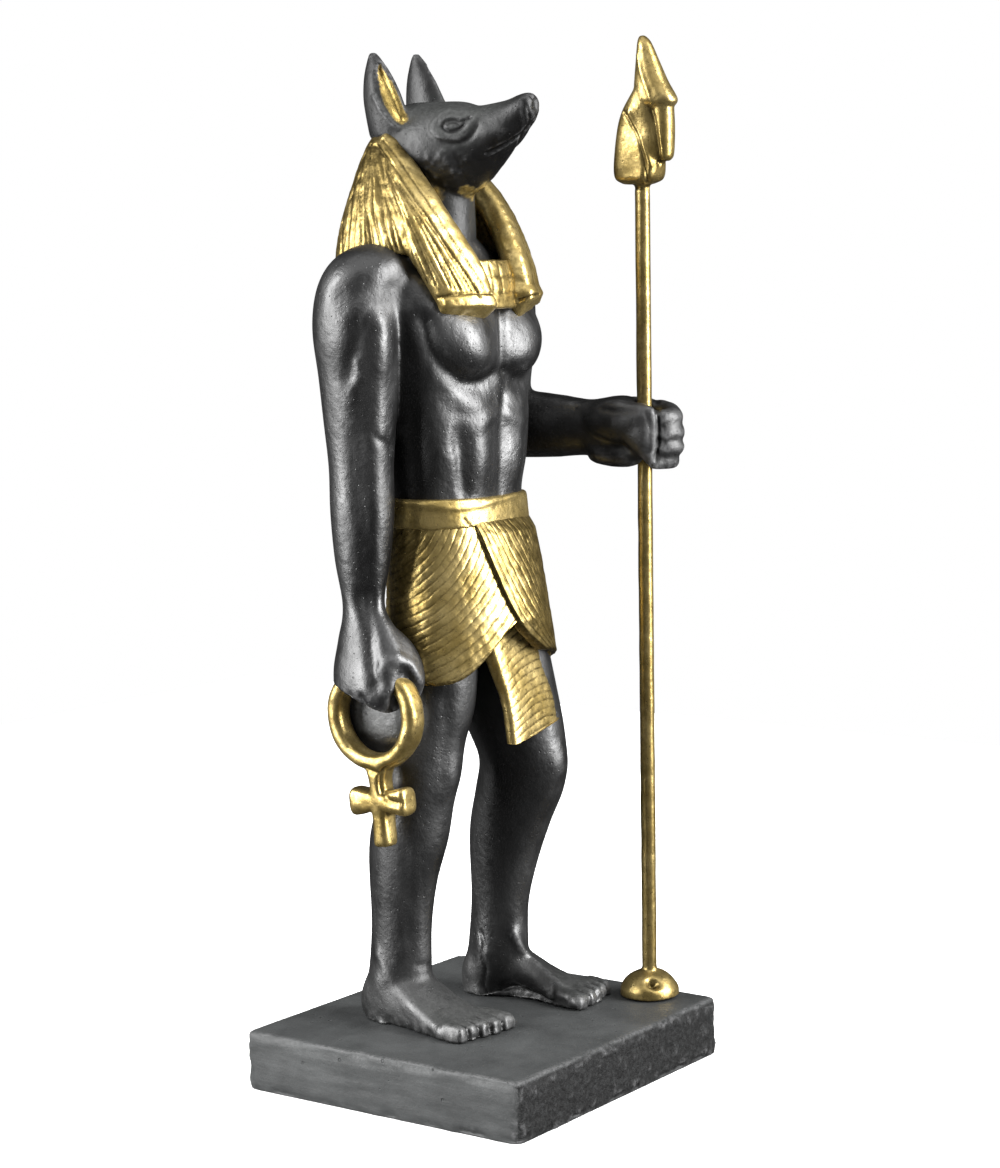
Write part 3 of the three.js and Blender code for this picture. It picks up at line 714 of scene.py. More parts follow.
EYE_STROKES = [
    ([(442, 127), (444, 123), (448, 120.5), (454, 119.5), (461, 120.5), (465, 119.5)], 0.46, 0.6),
    ([(442, 127), (445, 129.5), (451, 131.5), (458, 129.5), (463, 125), (465, 119.5)], 0.46, 0.6),
    ([(465, 119.5), (470, 117)], 0.4, 0.55),
    ([(447, 125), (452, 122.6), (458, 124)], 0.3, 0.25),
]
FACE_STROKES = [
    ([(437, 124), (441, 117), (451, 113.5), (463, 115)], 0.45, 0.16),
    ([(430, 134), (436, 139.5), (448, 143), (462, 142), (471, 137), (478, 127)], 0.6, 0.25),
    ([(537, 116), (522, 133), (503, 145), (487, 153)], 0.45, 0.5),
    ([(524, 100), (527, 107), (530, 116)], 0.5, 0.2),
    ([(531, 96), (535, 101), (536, 107)], 0.5, 0.35),
    ([(488, 133), (498, 137)], 2, -0.5),
    ([(524, 101), (524, 112), (527, 124)], 0.6, 0.25),
    ([(375, 97), (380, 107), (387, 117), (398, 128)], 0.8, -0.5),
    ([(379, 97), (385, 109), (393, 119), (401, 124)], 0.6, 0.4),
]
EAR_HOLLOW = [(381, 66), (384, 76), (388.5, 88), (394, 100), (400, 112), (402, 118)]
EAR_HOLLOW_REACH = [0.9, 1.9, 2.7, 3, 2.5, 1.2]
EAR_FOLD = [(387, 78), (394, 91), (402, 106)]
NECK_GILDING = [[(466, 190), (476, 194), (484, 186)], [(430, 192), (438, 196)]]
EYE_PLATE = [(441, 127.5), (454, 123.5), (467, 116)]
EYE_PLATE_REACH = [3.2, 4.6, 3.2]
EYE_PLATE_HEIGHT = 0.75
EYE_PLATE_TOP = 245.5
EYE_PLATE_FALL = 8.5
EYE_PLATE_UPPER = 0.12  # how much of the plate's height is left at its top
EYEBALL = [(449, 125.5), (460, 122.5)]
CHEEK = (MIDDLE - 10, 4, 229.5)
CHEEK_REACH = (6, 9, 6)
EARS_Z = 249
NECK_GILDING_SHARE = 0.54
NECK_GILDING_REACH = 3.4
GILT_EDGE = 0.44
GILT_SHARPNESS = 7
DUST_AND_LIGHT_AMOUNT = 0.9
DUST_AND_LIGHT_TILT = 0.25  # how far a face may lean over and still get dust and painted top light
PAINTED_LIGHT_ON_PLATE = 0.3
DUST_AND_LIGHT_FRONT = -16  # the muzzle in front of this Y gets neither dust nor painted top light
DUST_AND_LIGHT_FADE = 12


def make_head(sizes):
    clay = Clay.cast([
        loft(HEAD, facing=Y_AXIS, sides=64, spacing=0.5),
        loft(NECK, facing=Z_AXIS, sides=48),
        loft(RIGHT_EAR, across=Y_AXIS, facing=Z_AXIS, sides=40, spacing=FINE),
        loft(LEFT_EAR, across=Y_AXIS, facing=Z_AXIS, sides=40, spacing=FINE),
    ], sizes.face_detail)
    ears = past(clay.points[:, 2], EARS_Z)
    clay.smooth(10, 1 - ears)
    clay.smooth(2)
    clay.swell(BROWS)
    tree = clay.skin()
    steps = np.linspace(0, len(EAR_HOLLOW) - 1, SIGHT_DENSITY * len(EAR_HOLLOW))
    reach = np.interp(steps, range(len(EAR_HOLLOW)), EAR_HOLLOW_REACH)
    hollow = clay.seen(EAR_HOLLOW, tree)
    fold = clay.seen(EAR_FOLD, tree)
    gilt = np.zeros(len(clay.points))
    for path in with_mirror(hollow):
        gilt = np.maximum(gilt, clay.nearness(path, reach[:len(path)], 5))
        clay.raise_by(-in_mm(sizes.ear_depth) * clay.nearness(path, reach[:len(path)], 2.4))
    # the ear's fold is darkened with painted shade
    clay.carve([(path, 0.45, 0.5) for path in with_mirror(fold)], marked_dark=True)
    for pixels in NECK_GILDING:
        spot = clay.nearness(clay.seen(pixels, tree), NECK_GILDING_REACH, 3)
        gilt = np.maximum(gilt, NECK_GILDING_SHARE * spot)
    path = clay.seen(EYE_PLATE, tree)
    reach = np.interp(np.linspace(0, 2, len(path)), range(3), EYE_PLATE_REACH)
    plate = sum(clay.nearness(side, reach, 9) for side in with_mirror(path))
    slope = clamp((EYE_PLATE_TOP - clay.points[:, 2]) / EYE_PLATE_FALL)
    clay.raise_by(EYE_PLATE_HEIGHT * plate * (EYE_PLATE_UPPER + (1 - EYE_PLATE_UPPER) * slope))
    clay.draw([(EYEBALL, 1.3, -0.3)], pair=True)
    clay.draw(FACE_STROKES, pair=True)
    # the eye's lines are darkened with painted shade
    clay.draw(EYE_STROKES, pair=True, marked_dark=True)
    cheeks = sum(clay.around(place, CHEEK_REACH) for place in both_sides([CHEEK]))
    clay.raise_by(cheeks * roughness_of(clay.points, (0.35, 2.2, 21), (0.25, 1.1, 22)))
    clay.smooth(1, amount=0.3)
    ragged = gilt + roughness_of(clay.points, (0.06, 0.9, 3), (0.06, 2.6, 4))
    clay.marks["gilt"] = clamp((ragged - GILT_EDGE) * GILT_SHARPNESS)
    # lighter upward faces and eye plate: dust, and painted top light
    upward = clamp(clay.normals()[:, 2] + DUST_AND_LIGHT_TILT) + PAINTED_LIGHT_ON_PLATE * plate
    behind = clamp((clay.points[:, 1] - DUST_AND_LIGHT_FRONT) / DUST_AND_LIGHT_FADE)
    clay.marks["dust_and_painted_light"] = clamp(DUST_AND_LIGHT_AMOUNT * upward * behind) * (1 - ears)
    return clay


# Legs and feet

RIGHT_LEG = [
    [-9.5, 8.6, 118, 11, 13],
    [-11, 9, 98, 11.2, 12.8],
    [-12.4, 9.8, 87, 10.4, 11.2],
    [-13, 10, 79, 9.8, 10.1],
    [-13.5, 11.6, 71, 9.2, 10.2],
    [-14, 13.2, 62, 8.8, 10.5],
    [-14.5, 14.9, 51, 7.9, 9],
    [-15, 15.4, 40, 7, 8.2],
    [-15, 16, 29, 7, 8.6],
    [-15, 16.8, 20, 7.4, 9.2],
    [-15, 17, 14, 7.4, 9.2],
]
LEFT_LEG = [
    [13.5, 7, 118, 11.5, 14],
    [15, 3.6, 98, 12, 14.2],
    [16.4, 1.2, 87, 11, 13.4],
    [17, -0.4, 79, 9.9, 12],
    [17.8, 1.2, 71, 9.8, 12.2],
    [18.4, 4.4, 62, 9, 11],
    [18.8, 7, 51, 8, 9.2],
    [19, 8.7, 40, 6.9, 8],
    [19, 9.4, 29, 7, 8.4],
    [19, 10, 20, 7.4, 9],
    [19, 10.2, 14, 7.4, 9],
]
THIGH_WEB = [
    [-17, 15, 106, 6, 10, 2.6],
    [-18.4, 17.2, 98, 6.6, 12.4, 4],
    [-18.4, 16, 89.4, 6.6, 11, 4],
    [-17.4, 14.4, 85, 5.6, 8, 2.6],
    [-16.4, 13.4, 80, 3, 4, 2],
]
RIGHT_FOOT = [
    [-14.8, 26.4, 18, 3.6, 3.4],
    [-14.8, 24.4, 20, 6, 7.2],
    [-15, 18.4, 21, 7.6, 9.4],
    [-15.4, 10, 19.6, 8.2, 8.6],
    [-15.8, 2, 17, 9.2, 6.2],
    [-16.2, -4, 16, 10.2, 4.6],
    [-16.4, -8.6, 15.8, 10.8, 3.3],
    [-16.4, -10.4, 15.6, 10.4, 2.2],
]
LEFT_FOOT = [
    [19, 19.4, 18, 3.6, 3.4],
    [19, 17.4, 20, 5.6, 7],
    [19.4, 12.6, 21, 7.6, 9.4],
    [20.4, 4, 19.4, 7.8, 8.2],
    [21.8, -4, 17, 8.4, 5.9],
    [23, -10, 16, 9, 4.4],
    [24, -14.4, 15.8, 9.6, 3.2],
    [24.2, -16, 15.6, 9.2, 2.2],
]
# Toes from the big one: place across the foot, reach past the instep, half width
TOES = [
    [0.72, 5.2, 2.9],
    [0.26, 4.8, 2.1],
    [-0.12, 4.2, 2],
    [-0.46, 3.4, 1.9],
    [-0.78, 2.4, 1.8],
]
LEG_LUMPS = [
    [-13, 0, 79, 5, 5, 5, 0.9],
    [17, -12, 78, 5, 5, 5, 1],
    [-22, 17, 26, 3.4, 3.4, 3.4, 1],
    [-8, 16, 27, 3.4, 3.4, 3.4, 0.8],
    [26, 10, 26, 3.4, 3.4, 3.4, 1],
    [12, 9, 28, 3, 3, 3, 0.4],
    [12.4, 2, 17.6, 5, 8, 4.5, -3.6],
    [13.6, -5.5, 16.6, 4.5, 5, 3.4, -2.2],
    [11.6, -2, 15.2, 5, 10, 3, -2.6],
    [-14, 23, 58, 5, 5, 10, 0.8],
    [18, 15, 58, 5, 5, 10, 0.8],
]
ARCH = (13, -1, 18)  # the far foot's inner hollow, which gets painted shade
ARCH_REACH = (7, 10, 6)
TOES_Y = -7  # the toes lie in front of this Y, and below the next height
TOES_TOP = 30
TOE_GAP_SHARE = 0.46  # where the gap lies between the middles of two toes
# The part of the thigh's web that shows through the loop, and the heights and depths where painted shade
# darkens it
WEB = {"x": -10, "radius": 10.5, "fade": 1.5, "low": 91, "back": 20.5, "back_fade": 2}
DUST_AND_LIGHT_HEIGHT = 9  # dust and painted top light fade over this height above the ground
RAGGED_HEIGHT = 2.2
LEG_SEAMS = [
    ([(481, 932), (484, 946), (481, 956), (486, 968), (484, 984), (489, 997)], 0.34, 0.5),
]
LEG_STROKES = [
    ([(432, 945), (437, 965), (461, 989), (491, 1003)], 1.8, -0.5),
    ([(378, 954), (404, 998), (439, 1030)], 1.6, -0.5),
    ([(417, 966), (434, 964)], 0.8, 0.4),
    ([(514, 934), (522, 950), (538, 966), (560, 986)], 1.5, -0.9),
    ([(406, 850), (408, 890), (409, 940)], 1.4, 0.25),
    ([(447, 700), (446, 740), (441, 780)], 2.4, 0.5),
]


def toe_gaps(stations, big_toe_side):
    """The cuts between the toes, down their tops and fronts."""
    x, y, _, half_width, _ = stations[-2]
    cuts = []
    for (first, long, _), (second, short, _) in zip(TOES[:-1], TOES[1:]):
        place = first * TOE_GAP_SHARE + second * (1 - TOE_GAP_SHARE)
        gap = x + big_toe_side * half_width * place
        tip = y - (long + short) / 2
        path = [(gap, y + 0.6, 19.4), (gap, tip + 2, 18.8), (gap, tip + 0.4, 17.4), (gap, tip, 15)]
        cuts.append((path, 0.42, 0.9))
    return cuts


def make_foot(stations, big_toe_side):
    x, y, _, half_width, _ = stations[-2]
    forms = [loft(stations, facing=Y_AXIS, sides=48)]
    for place, reach, half in TOES:
        toe_x = x + big_toe_side * place * half_width
        forms.append(loft([
            [toe_x, y + 4, 16.8, half, 3, 2.6],
            [toe_x, y - reach * 0.6, 16.4, half, 2.7, 2.6],
            [toe_x, y - reach * 0.9, 16.3, half * 0.9, 2.1, 2.6],
            [toe_x, y - reach, 16.2, half * 0.7, 1.4, 2.2],
        ], facing=Y_AXIS, sides=24, spacing=0.3))
    return forms


def make_legs(sizes):
    clay = Clay.cast([
        loft(RIGHT_LEG, facing=Z_AXIS, sides=56),
        loft(LEFT_LEG, facing=Z_AXIS, sides=56),
        loft(THIGH_WEB, facing=Z_AXIS),
        *make_foot(RIGHT_FOOT, 1),
        *make_foot(LEFT_FOOT, -1),
    ], sizes.skin_detail)
    x, y, z = clay.points.T
    toes = past(y, TOES_Y, -1.2) * (z < TOES_TOP)
    clay.smooth(12, 1 - toes)
    clay.smooth(2)
    clay.swell(LEG_LUMPS)
    clay.draw(LEG_STROKES)
    clay.smooth(2, 1 - toes)
    # the gaps between the toes are darkened with painted shade
    clay.carve(toe_gaps(RIGHT_FOOT, 1) + toe_gaps(LEFT_FOOT, -1), marked_dark=True)
    clay.draw(LEG_SEAMS, marked_dark=True)
    x, y, z = clay.points.T
    from_loop = np.hypot(y - LOOP["y"], z - LOOP["z"])
    web = (x < WEB["x"]) * clamp((WEB["radius"] - from_loop) / WEB["fade"])
    shade = np.maximum(clamp((WEB["low"] - z) / WEB["fade"]), clamp((y - WEB["back"]) / WEB["back_fade"]))
    arch = clay.around(ARCH, ARCH_REACH) * (clay.normals()[:, 0] < -0.2)
    # painted shade on the web's back and underside, and in the far foot's arch
    dark_share = clamp(web * shade + 1.2 * arch)
    clay.marks["engraved_and_shade"] = np.maximum(clay.marks["engraved_and_shade"], dark_share)
    upward = clamp(clay.normals()[:, 2])
    low = np.exp(-((z - GROUND) / DUST_AND_LIGHT_HEIGHT) ** 2) * (0.25 + 0.75 * upward) * (1 - clamp(1.5 * arch))
    # lighter near the ground on upward faces: dust and painted top light; lighter on the web's unshaded
    # face: painted light
    clay.marks["dust_and_painted_light"] = low + web * (1 - web * shade)
    clay.marks["aged_and_shade"] = clamp(0.25 + 0.6 * grain(clay.points, 9, 43))
    sole = clamp(np.exp(-((z - GROUND) / RAGGED_HEIGHT)))
    clay.raise_by(sole * roughness_of(clay.points, (0.5, 2.6, 41), (0.35, 1.2, 42)))
    clay.points[:, 2] = np.maximum(clay.points[:, 2], GROUND)
    return clay


# Headdress and collar

BACK_FALL = on_middle([
    [0, 22.6, 240.4, 9.5, 4.6, 2.4],
    [0, 21.4, 236, 14.4, 7.6, 2.5],
    [0, 20.4, 226, 20.4, 9.8, 2.7],
    [0, 20.2, 216, 25, 10.6, 2.9],
    [0, 20.4, 207.5, 27, 10.4, 3],
    [0, 22, 200, 26, 8.4, 3],
    [0, 22.6, 194, 25, 7.2, 3],
])
RIGHT_SHOULDER_FALL = [
    [-7, 22, 239, 4, 2.6],
    [-11.4, 18, 230, 7, 4],
    [-15, 14.8, 221.6, 9, 4.8],
    [-18.2, 13.6, 214, 10, 4.8],
    [-19.6, 13.4, 209, 8.4, 3.6],
]
RIGHT_LAPPET = [
    [-8.6, 21, 238, 2.6, 2.6, 2.6],
    [-11.4, 14.6, 230.4, 4.2, 3.2, 2.8],
    [-14, 8, 221.6, 6, 3.6, 3],
    [-14.4, 3, 213, 7.6, 3.6, 3],
    [-12.4, -2, 204, 7.8, 3.6, 3.2],
    [-11, -4.2, 198, 7.6, 3.5, 3.4],
]
RIGHT_LAPPET_TIP = [
    [-11.2, -4, 200, 7.4, 3.4, 3.6],
    [-11, -4.3, 197.4, 7.8, 3.9, 4],
    [-10.9, -4.4, 196.2, 7.8, 3.9, 4],
    [-10.8, -3.4, 194.2, 7.2, 2.4, 4],
    [-10.7, -2.6, 193, 6.4, 1.4, 4],
]
LEFT_TIP_LIFT = (1, 2.2, 2.2, 1.4, 0.2)  # the far lappet's end is cut at more of a slant
RIGHT_LAPPET_ACROSS = np.array([0.9, -0.44, 0.0])
LEFT_LAPPET_ACROSS = np.array([0.9, 0.44, 0.0])
COLLAR = on_middle([
    [0, -1.6, 207.5, 7.4, 3.2, 2.6],
    [0, -3, 202, 8, 3.4, 2.6],
    [0, -4, 195.4, 8.4, 3, 2.6],
])
FAN_BACK = [(368, 145), (354, 174), (341, 212), (334, 264)]
FAN_FRONT = [(377, 145), (402, 184), (437, 234), (474, 292)]
FAN_LINES = 23
FAN_SWAY = 1.3
FAN_POINTS = 14  # points of each of its lines
BAND_LINE = [(376, 145), (396, 170), (424, 212), (447, 247), (464, 272), (480, 297)]
BAND_INSET = (6, -6)  # the second line of the band, in pixels from the first
LAPPET_STROKES = [
    ([(438, 298), (452, 295), (470, 293), (492, 293)], 0.42, 0.5),
    ([(519, 300), (529, 297), (540, 294)], 0.42, 0.5),
]
FALL_CENTRE_Y = 15.0
STRAND_WIDTH = 0.3  # of a groove between strands; less is narrower
BACK_Y = 22  # behind this the strands hang straight
LAPPET_ENDS_Z = 199
CROWN_Z = 230
COLLAR_ROWS = (203.4, 199.4)
COLLAR_COLUMN = 3.4
COLLAR_LINE = 0.4


def fan_strokes():
    """The engraved lines that spread from the crown to the shoulder."""
    back, front = curve(FAN_BACK, FAN_POINTS), curve(FAN_FRONT, FAN_POINTS)
    strokes = []
    for i, share in enumerate(np.linspace(0.03, 0.98, FAN_LINES) ** 0.9):
        path = back + (front - back) * share
        wave = np.linspace(0, 7 + 5 * math.sin(3 * i), FAN_POINTS) + 2.4 * i
        path[:, 0] += FAN_SWAY * (np.sin(wave) + math.sin(5 * i))
        strokes.append((path, 0.27 + 0.07 * math.sin(1.7 * i), 0.24 + 0.1 * math.sin(2.9 * i)))
    return strokes


def make_headdress(sizes):
    left_tip = [[x, y, z + lift, *rest] for (x, y, z, *rest), lift in zip(RIGHT_LAPPET_TIP, LEFT_TIP_LIFT)]
    clay = Clay.cast([
        loft(BACK_FALL, facing=Z_AXIS, sides=96),
        loft(RIGHT_SHOULDER_FALL, across=Y_AXIS, facing=Z_AXIS),
        loft(mirrored(RIGHT_SHOULDER_FALL), across=Y_AXIS, facing=Z_AXIS),
        loft(RIGHT_LAPPET, across=RIGHT_LAPPET_ACROSS, sides=48),
        loft(mirrored(RIGHT_LAPPET), across=LEFT_LAPPET_ACROSS, sides=48),
        loft(RIGHT_LAPPET_TIP, across=RIGHT_LAPPET_ACROSS, facing=Z_AXIS, sides=64, spacing=FINE),
        loft(mirrored(left_tip), across=LEFT_LAPPET_ACROSS, facing=Z_AXIS, sides=64, spacing=FINE),
    ], sizes.gilded_detail)
    z = clay.points[:, 2]
    ends = past(z, LAPPET_ENDS_Z, -1.2)
    clay.smooth(8, 1 - ends)
    clay.smooth(16, past(z, CROWN_Z))
    clay.smooth(3)
    x, y, z = clay.points.T
    wander = roughness_of(clay.points, (0.3, 9, 5), (0.12, 3, 6))
    turn = np.arctan2(y - FALL_CENTRE_Y, x - MIDDLE)
    strands = grooves(turn * sizes.strand_count / 2 + wander, STRAND_WIDTH) * clamp((y - BACK_Y) / 2)
    clay.marks["engraved_and_shade"] = strands
    clay.raise_by(-in_mm(sizes.strand_depth) * strands)
    clay.draw(fan_strokes(), pair=True, marked_dark=True)
    inset = [(across + BAND_INSET[0], down + BAND_INSET[1]) for across, down in BAND_LINE]
    clay.draw([(BAND_LINE, 0.34, 0.4), (inset, 0.26, 0.2)], pair=True, marked_dark=True)
    clay.draw(LAPPET_STROKES, marked_dark=True)
    clay.marks["engraved_and_shade"] = clay.marks["engraved_and_shade"] * clamp(0.85 + 0.6 * grain(clay.points, 1.5, 33))
    clay.raise_by(0.12 * grain(clay.points, 1.6, 31))
    # darker towards the back: painted shade, with mottled patina
    mottling = 0.35 * grain(clay.points, 7, 34) + 0.45 * grain(clay.points * (1, 1, 0.3), 1.6, 35)
    clay.marks["aged_and_shade"] = clamp(0.55 + 0.5 * (clay.points[:, 1] - 11) / 6 + mottling)
    return clay


def make_collar(sizes):
    clay = Clay.cast([loft(COLLAR, facing=Z_AXIS, sides=48)], sizes.gilded_detail)
    clay.smooth(2)
    x, y, z = clay.points.T
    rows = sum(np.exp(-(((z - height) / COLLAR_LINE) ** 2)) for height in COLLAR_ROWS)
    columns = grooves((x - MIDDLE) * np.pi / COLLAR_COLUMN, STRAND_WIDTH) * (z > COLLAR_ROWS[1])
    clay.marks["engraved_and_shade"] = 0.7 * clamp(rows + columns)
    clay.raise_by(-0.2 * rows - 0.16 * columns + 0.15 * grain(clay.points, 1.5, 32))
    return clay


# Belt, kilt, flap and apron

BELT = {"y": 8.2, "half_width": 21.8, "half_depth": 14.5, "low": 141.4, "high": 148.8, "squareness": 2.3}
KILT = {
    "top": 143, "half_width_top": 21.2, "half_depth_top": 14,
    "half_width_hem": 24.4, "half_depth_hem": 18.4,
}
KILT_CENTRE_Y = (8.2, 5.6)
HEM = {"low": 103, "rise": 15, "flap_low": 103, "flap_rise": 6.6}
FLAP_THICK = 1.5
FLAP_EDGE = 0.75  # its edge's share of that thickness
FLAP_EASE = 0.4  # the share of the flap over which a whole thickness would be gained
FLAP_TUCK = 0.12  # how far down it comes out from under the belt
FLAP_SHADE = 0.3  # the width of the painted shadow line along its edge
FLAP_END = 2.6 * np.pi
APRON = on_middle([
    [2.6, -3.6, 121, 11.4, 4, 4],
    [3, -4.2, 115, 11.4, 3.2, 4],
    [2.2, -7.2, 106, 9.6, 2.6, 4],
    [3.8, -9.8, 97, 10, 2.1, 4],
    [4.4, -11.4, 85.6, 10.2, 2, 4],
])
APRON_SLANT = 0.2
APRON_END = 88.8
PLEAT_CENTRE = (-31.5, 162.2)  # distance round the waist from the nearest side, and height
PLEAT_GAP = 2.05
PLEAT_DEPTH = 0.17
PLEAT_WIDTH = 0.28  # of a pleat's line; less is narrower
CLOTH_INSIDE = -2.0  # how far a layer's hidden edge lies inside the kilt's surface
KILT_SPLIT = 0.72 * np.pi  # the seen half of the kilt starts here, and has more columns
KILT_COLUMNS = (330, 110)
KILT_ROWS = 140
FLAP_COLUMNS = 330
FLAP_ROWS = 130
LAST_ROW = 0.985
BELT_OVERLAP = [([(464, 519), (468, 524), (475, 532)], 0.3, 0.25)]
BELT_RIDGE = [([(402, 502), (430, 507), (464, 508), (495, 501), (517, 494)], 0.8, -0.35)]
NEAR_SIDE = 1.24 * np.pi
WAIST_RADIUS = 22.0


def forwards(angle):
    return np.maximum(-np.sin(angle), 0)


def hem_height(angle):
    return HEM["low"] + HEM["rise"] * forwards(angle) ** 5


def flap_hem_height(angle):
    return HEM["flap_low"] + HEM["flap_rise"] * forwards(angle) ** 1.5


def flap_start(down):
    return np.pi * (1.34 + 0.14 * down + 0.12 * down**8)


def on_kilt(angle, down, out, hem):
    """A point of the kilt: down is 0 at the belt and 1 at the hem."""
    z = KILT["top"] + (hem(angle) - KILT["top"]) * down
    level = clamp((KILT["top"] - z) / (KILT["top"] - hem_height(angle)))
    flare = np.maximum(down, level) ** 0.8
    wide = KILT["half_width_top"] + (KILT["half_width_hem"] - KILT["half_width_top"]) * flare + out
    deep = KILT["half_depth_top"] + (KILT["half_depth_hem"] - KILT["half_depth_top"]) * flare + out
    middle = KILT_CENTRE_Y[0] + (KILT_CENTRE_Y[1] - KILT_CENTRE_Y[0]) * flare
    return np.stack([
        MIDDLE + wide * squared(np.cos(angle), 2.2),
        middle + deep * squared(np.sin(angle), 2.2),
        z,
    ], -1)


def make_shell(angles, rows, hem, pleats, closed):
    """A layer of cloth from rows of down, out and a share of pleating, with its pleat lines darkened, and
    on the flap a painted shadow line along its edge.
    """
    lines, dark_share = [], []
    for down, out, share in rows:
        start = angles(down)
        groove = share * pleats(start, down)
        lines.append(on_kilt(start, np.full(len(start), down), out - PLEAT_DEPTH * groove, hem))
        dark_share.append(groove)
    clay = Clay(np.concatenate(lines), grid_faces(len(lines), len(lines[0]), closed))
    clay.marks["engraved_and_shade"] = np.concatenate(dark_share)
    clay.raise_by(0.09 * grain(clay.points, 1.6, 51))
    return clay


def round_waist(angle):
    """Distance round the waist from the side that the camera sees."""
    return (angle - NEAR_SIDE) * WAIST_RADIUS


def pleat_lines(distance, wander):
    """1 on lines that lie one pleat apart, and 0 between them."""
    return grooves(np.pi * distance / PLEAT_GAP + wander, PLEAT_WIDTH)


def broken(place, seed):
    """The share of an engraved line that is left where the leaf has filled it."""
    return clamp(0.8 + 0.55 * grain(place, 1.3, seed))


def kilt_pleats(angle, down):
    across = round_waist(angle) - PLEAT_CENTRE[0]
    height = KILT["top"] + (hem_height(angle) - KILT["top"]) * down - PLEAT_CENTRE[1]
    place = np.stack([across, height, 0 * across], 1)
    wander = roughness_of(place, (0.35, 7, 52), (0.2, 2, 53))
    return pleat_lines(np.hypot(across, height), wander) * broken(place, 54)


def flap_pleats(angle, down):
    across = (angle - flap_start(np.full(len(angle), down))) * WAIST_RADIUS
    place = np.stack([across, 40 * down + 0 * across, 0 * across], 1)
    wander = roughness_of(place, (0.3, 7, 55), (0.15, 2, 56))
    fan = across * (1 + 0.22 * (1 - down))
    lines = pleat_lines(fan, wander) * broken(place, 57) * clamp(across / 1.6)
    # a painted shadow line along the flap's edge
    return np.maximum(lines, across < FLAP_SHADE)


def make_kilt():
    seen, unseen = KILT_COLUMNS
    front = np.linspace(KILT_SPLIT, KILT_SPLIT + np.pi, seen, endpoint=False)
    back = np.linspace(KILT_SPLIT - np.pi, KILT_SPLIT, unseen, endpoint=False)
    circle = np.concatenate([front, back + 2 * np.pi])
    outer = [(down, 0.0, 1.0) for down in np.linspace(0, LAST_ROW, KILT_ROWS)]
    edge = [(0.995, -0.15, 0.0), (1.0, -0.5, 0.0), (1.0, -1.2, 0.0)]
    under = [(0.97, -3.0, 0.0), (0.95, -8.0, 0.0), (0.95, -13.5, 0.0)]
    clay = make_shell(lambda down: circle, outer + edge + under, hem_height, kilt_pleats, True)
    # darker towards the back: painted shade, with random patina
    clay.marks["aged_and_shade"] = clamp(0.2 + (clay.points[:, 1] + 2) / 7 + 0.4 * grain(clay.points, 5, 64))
    return clay


def make_flap():
    share = np.linspace(0, 1, FLAP_COLUMNS) ** 1.15

    def angles(down):
        start = flap_start(down)
        return start + (FLAP_END - start) * share

    thick = FLAP_THICK * (1 - share**6) * np.minimum(1, FLAP_EDGE + share / FLAP_EASE)
    thick[0] = CLOTH_INSIDE
    hidden = CLOTH_INSIDE + 0 * thick
    outer = [
        (down, thick * min(1, 0.2 + down / FLAP_TUCK), 1.0) for down in np.linspace(0, LAST_ROW, FLAP_ROWS)
    ]
    edge = [(0.997, thick - 0.3, 0.0), (1.0, thick - 0.8, 0.0), (1.0, hidden, 0.0)]
    inside = [(down, hidden, 0.0) for down in (0.9, 0.5, 0.0)]
    return make_shell(angles, outer + edge + inside, flap_hem_height, flap_pleats, False)


def belt_ring(height, narrower, shallower):
    return [
        MIDDLE, BELT["y"], height, BELT["half_width"] - narrower, BELT["half_depth"] - shallower,
        BELT["squareness"],
    ]


def make_belt(sizes):
    clay = Clay.cast([loft([
        belt_ring(BELT["low"], 0.3, 0.3),
        belt_ring(BELT["low"] + 0.8, 0, 0),
        belt_ring(BELT["high"] - 0.9, 0.4, 0.6),
        belt_ring(BELT["high"], 1, 1.2),
    ], facing=Z_AXIS, sides=120, spacing=0.3)], sizes.gilded_detail)
    clay.smooth(3)
    clay.draw(BELT_OVERLAP, marked_dark=True)
    clay.draw(BELT_RIDGE)
    clay.raise_by(0.07 * grain(clay.points, 1.8, 58))
    return clay


def make_apron(sizes):
    clay = Clay.cast([loft(APRON, facing=Z_AXIS, sides=48, spacing=FINE)], sizes.small_detail)
    from_middle = clay.points[:, 0] - APRON[-1][0]
    clay.points[:, 2] = np.maximum(clay.points[:, 2], APRON_END + APRON_SLANT * from_middle)
    clay.smooth(2)
    x, y, z = clay.points.T
    height = z - APRON_SLANT * x + 0.02 * (x - APRON[-1][0]) ** 2
    wander = roughness_of(clay.points, (0.3, 6, 59), (0.15, 2, 60))
    facing = clamp(-clay.normals()[:, 1] * 2 - 0.6)
    lines = pleat_lines(height, wander) * broken(clay.points, 61) * facing
    clay.marks["engraved_and_shade"] = lines
    clay.raise_by(-PLEAT_DEPTH * lines + 0.06 * grain(clay.points, 1.8, 62))
    return clay


# The looped cross

RING_STEPS = 140
RING_SIDES = 32
CROSS_STROKES = [
    ([(366, 769), (378, 773), (386, 768), (404, 760)], 0.7, 0.6),
    ([(380, 773), (381, 788), (388, 800), (400, 804)], 0.8, 0.6),
]


def ring_form(radius, half_band, half_thick, squareness):
    """A closed ring in the Y and Z plane, with a squared-off section."""
    around = np.linspace(0, 2 * np.pi, RING_STEPS, endpoint=False)[:, None]
    section = np.linspace(0, 2 * np.pi, RING_SIDES, endpoint=False)[None, :]
    out = radius + half_band * squared(np.cos(section), squareness)
    side = half_thick * squared(np.sin(section), squareness) + 0 * around
    points = np.stack([side, out * np.sin(around), out * np.cos(around)], -1)
    closed = np.concatenate([points, points[:1]])
    faces = grid_faces(len(closed), RING_SIDES, True) % (RING_STEPS * RING_SIDES)
    return points.reshape(-1, 3), faces.tolist()


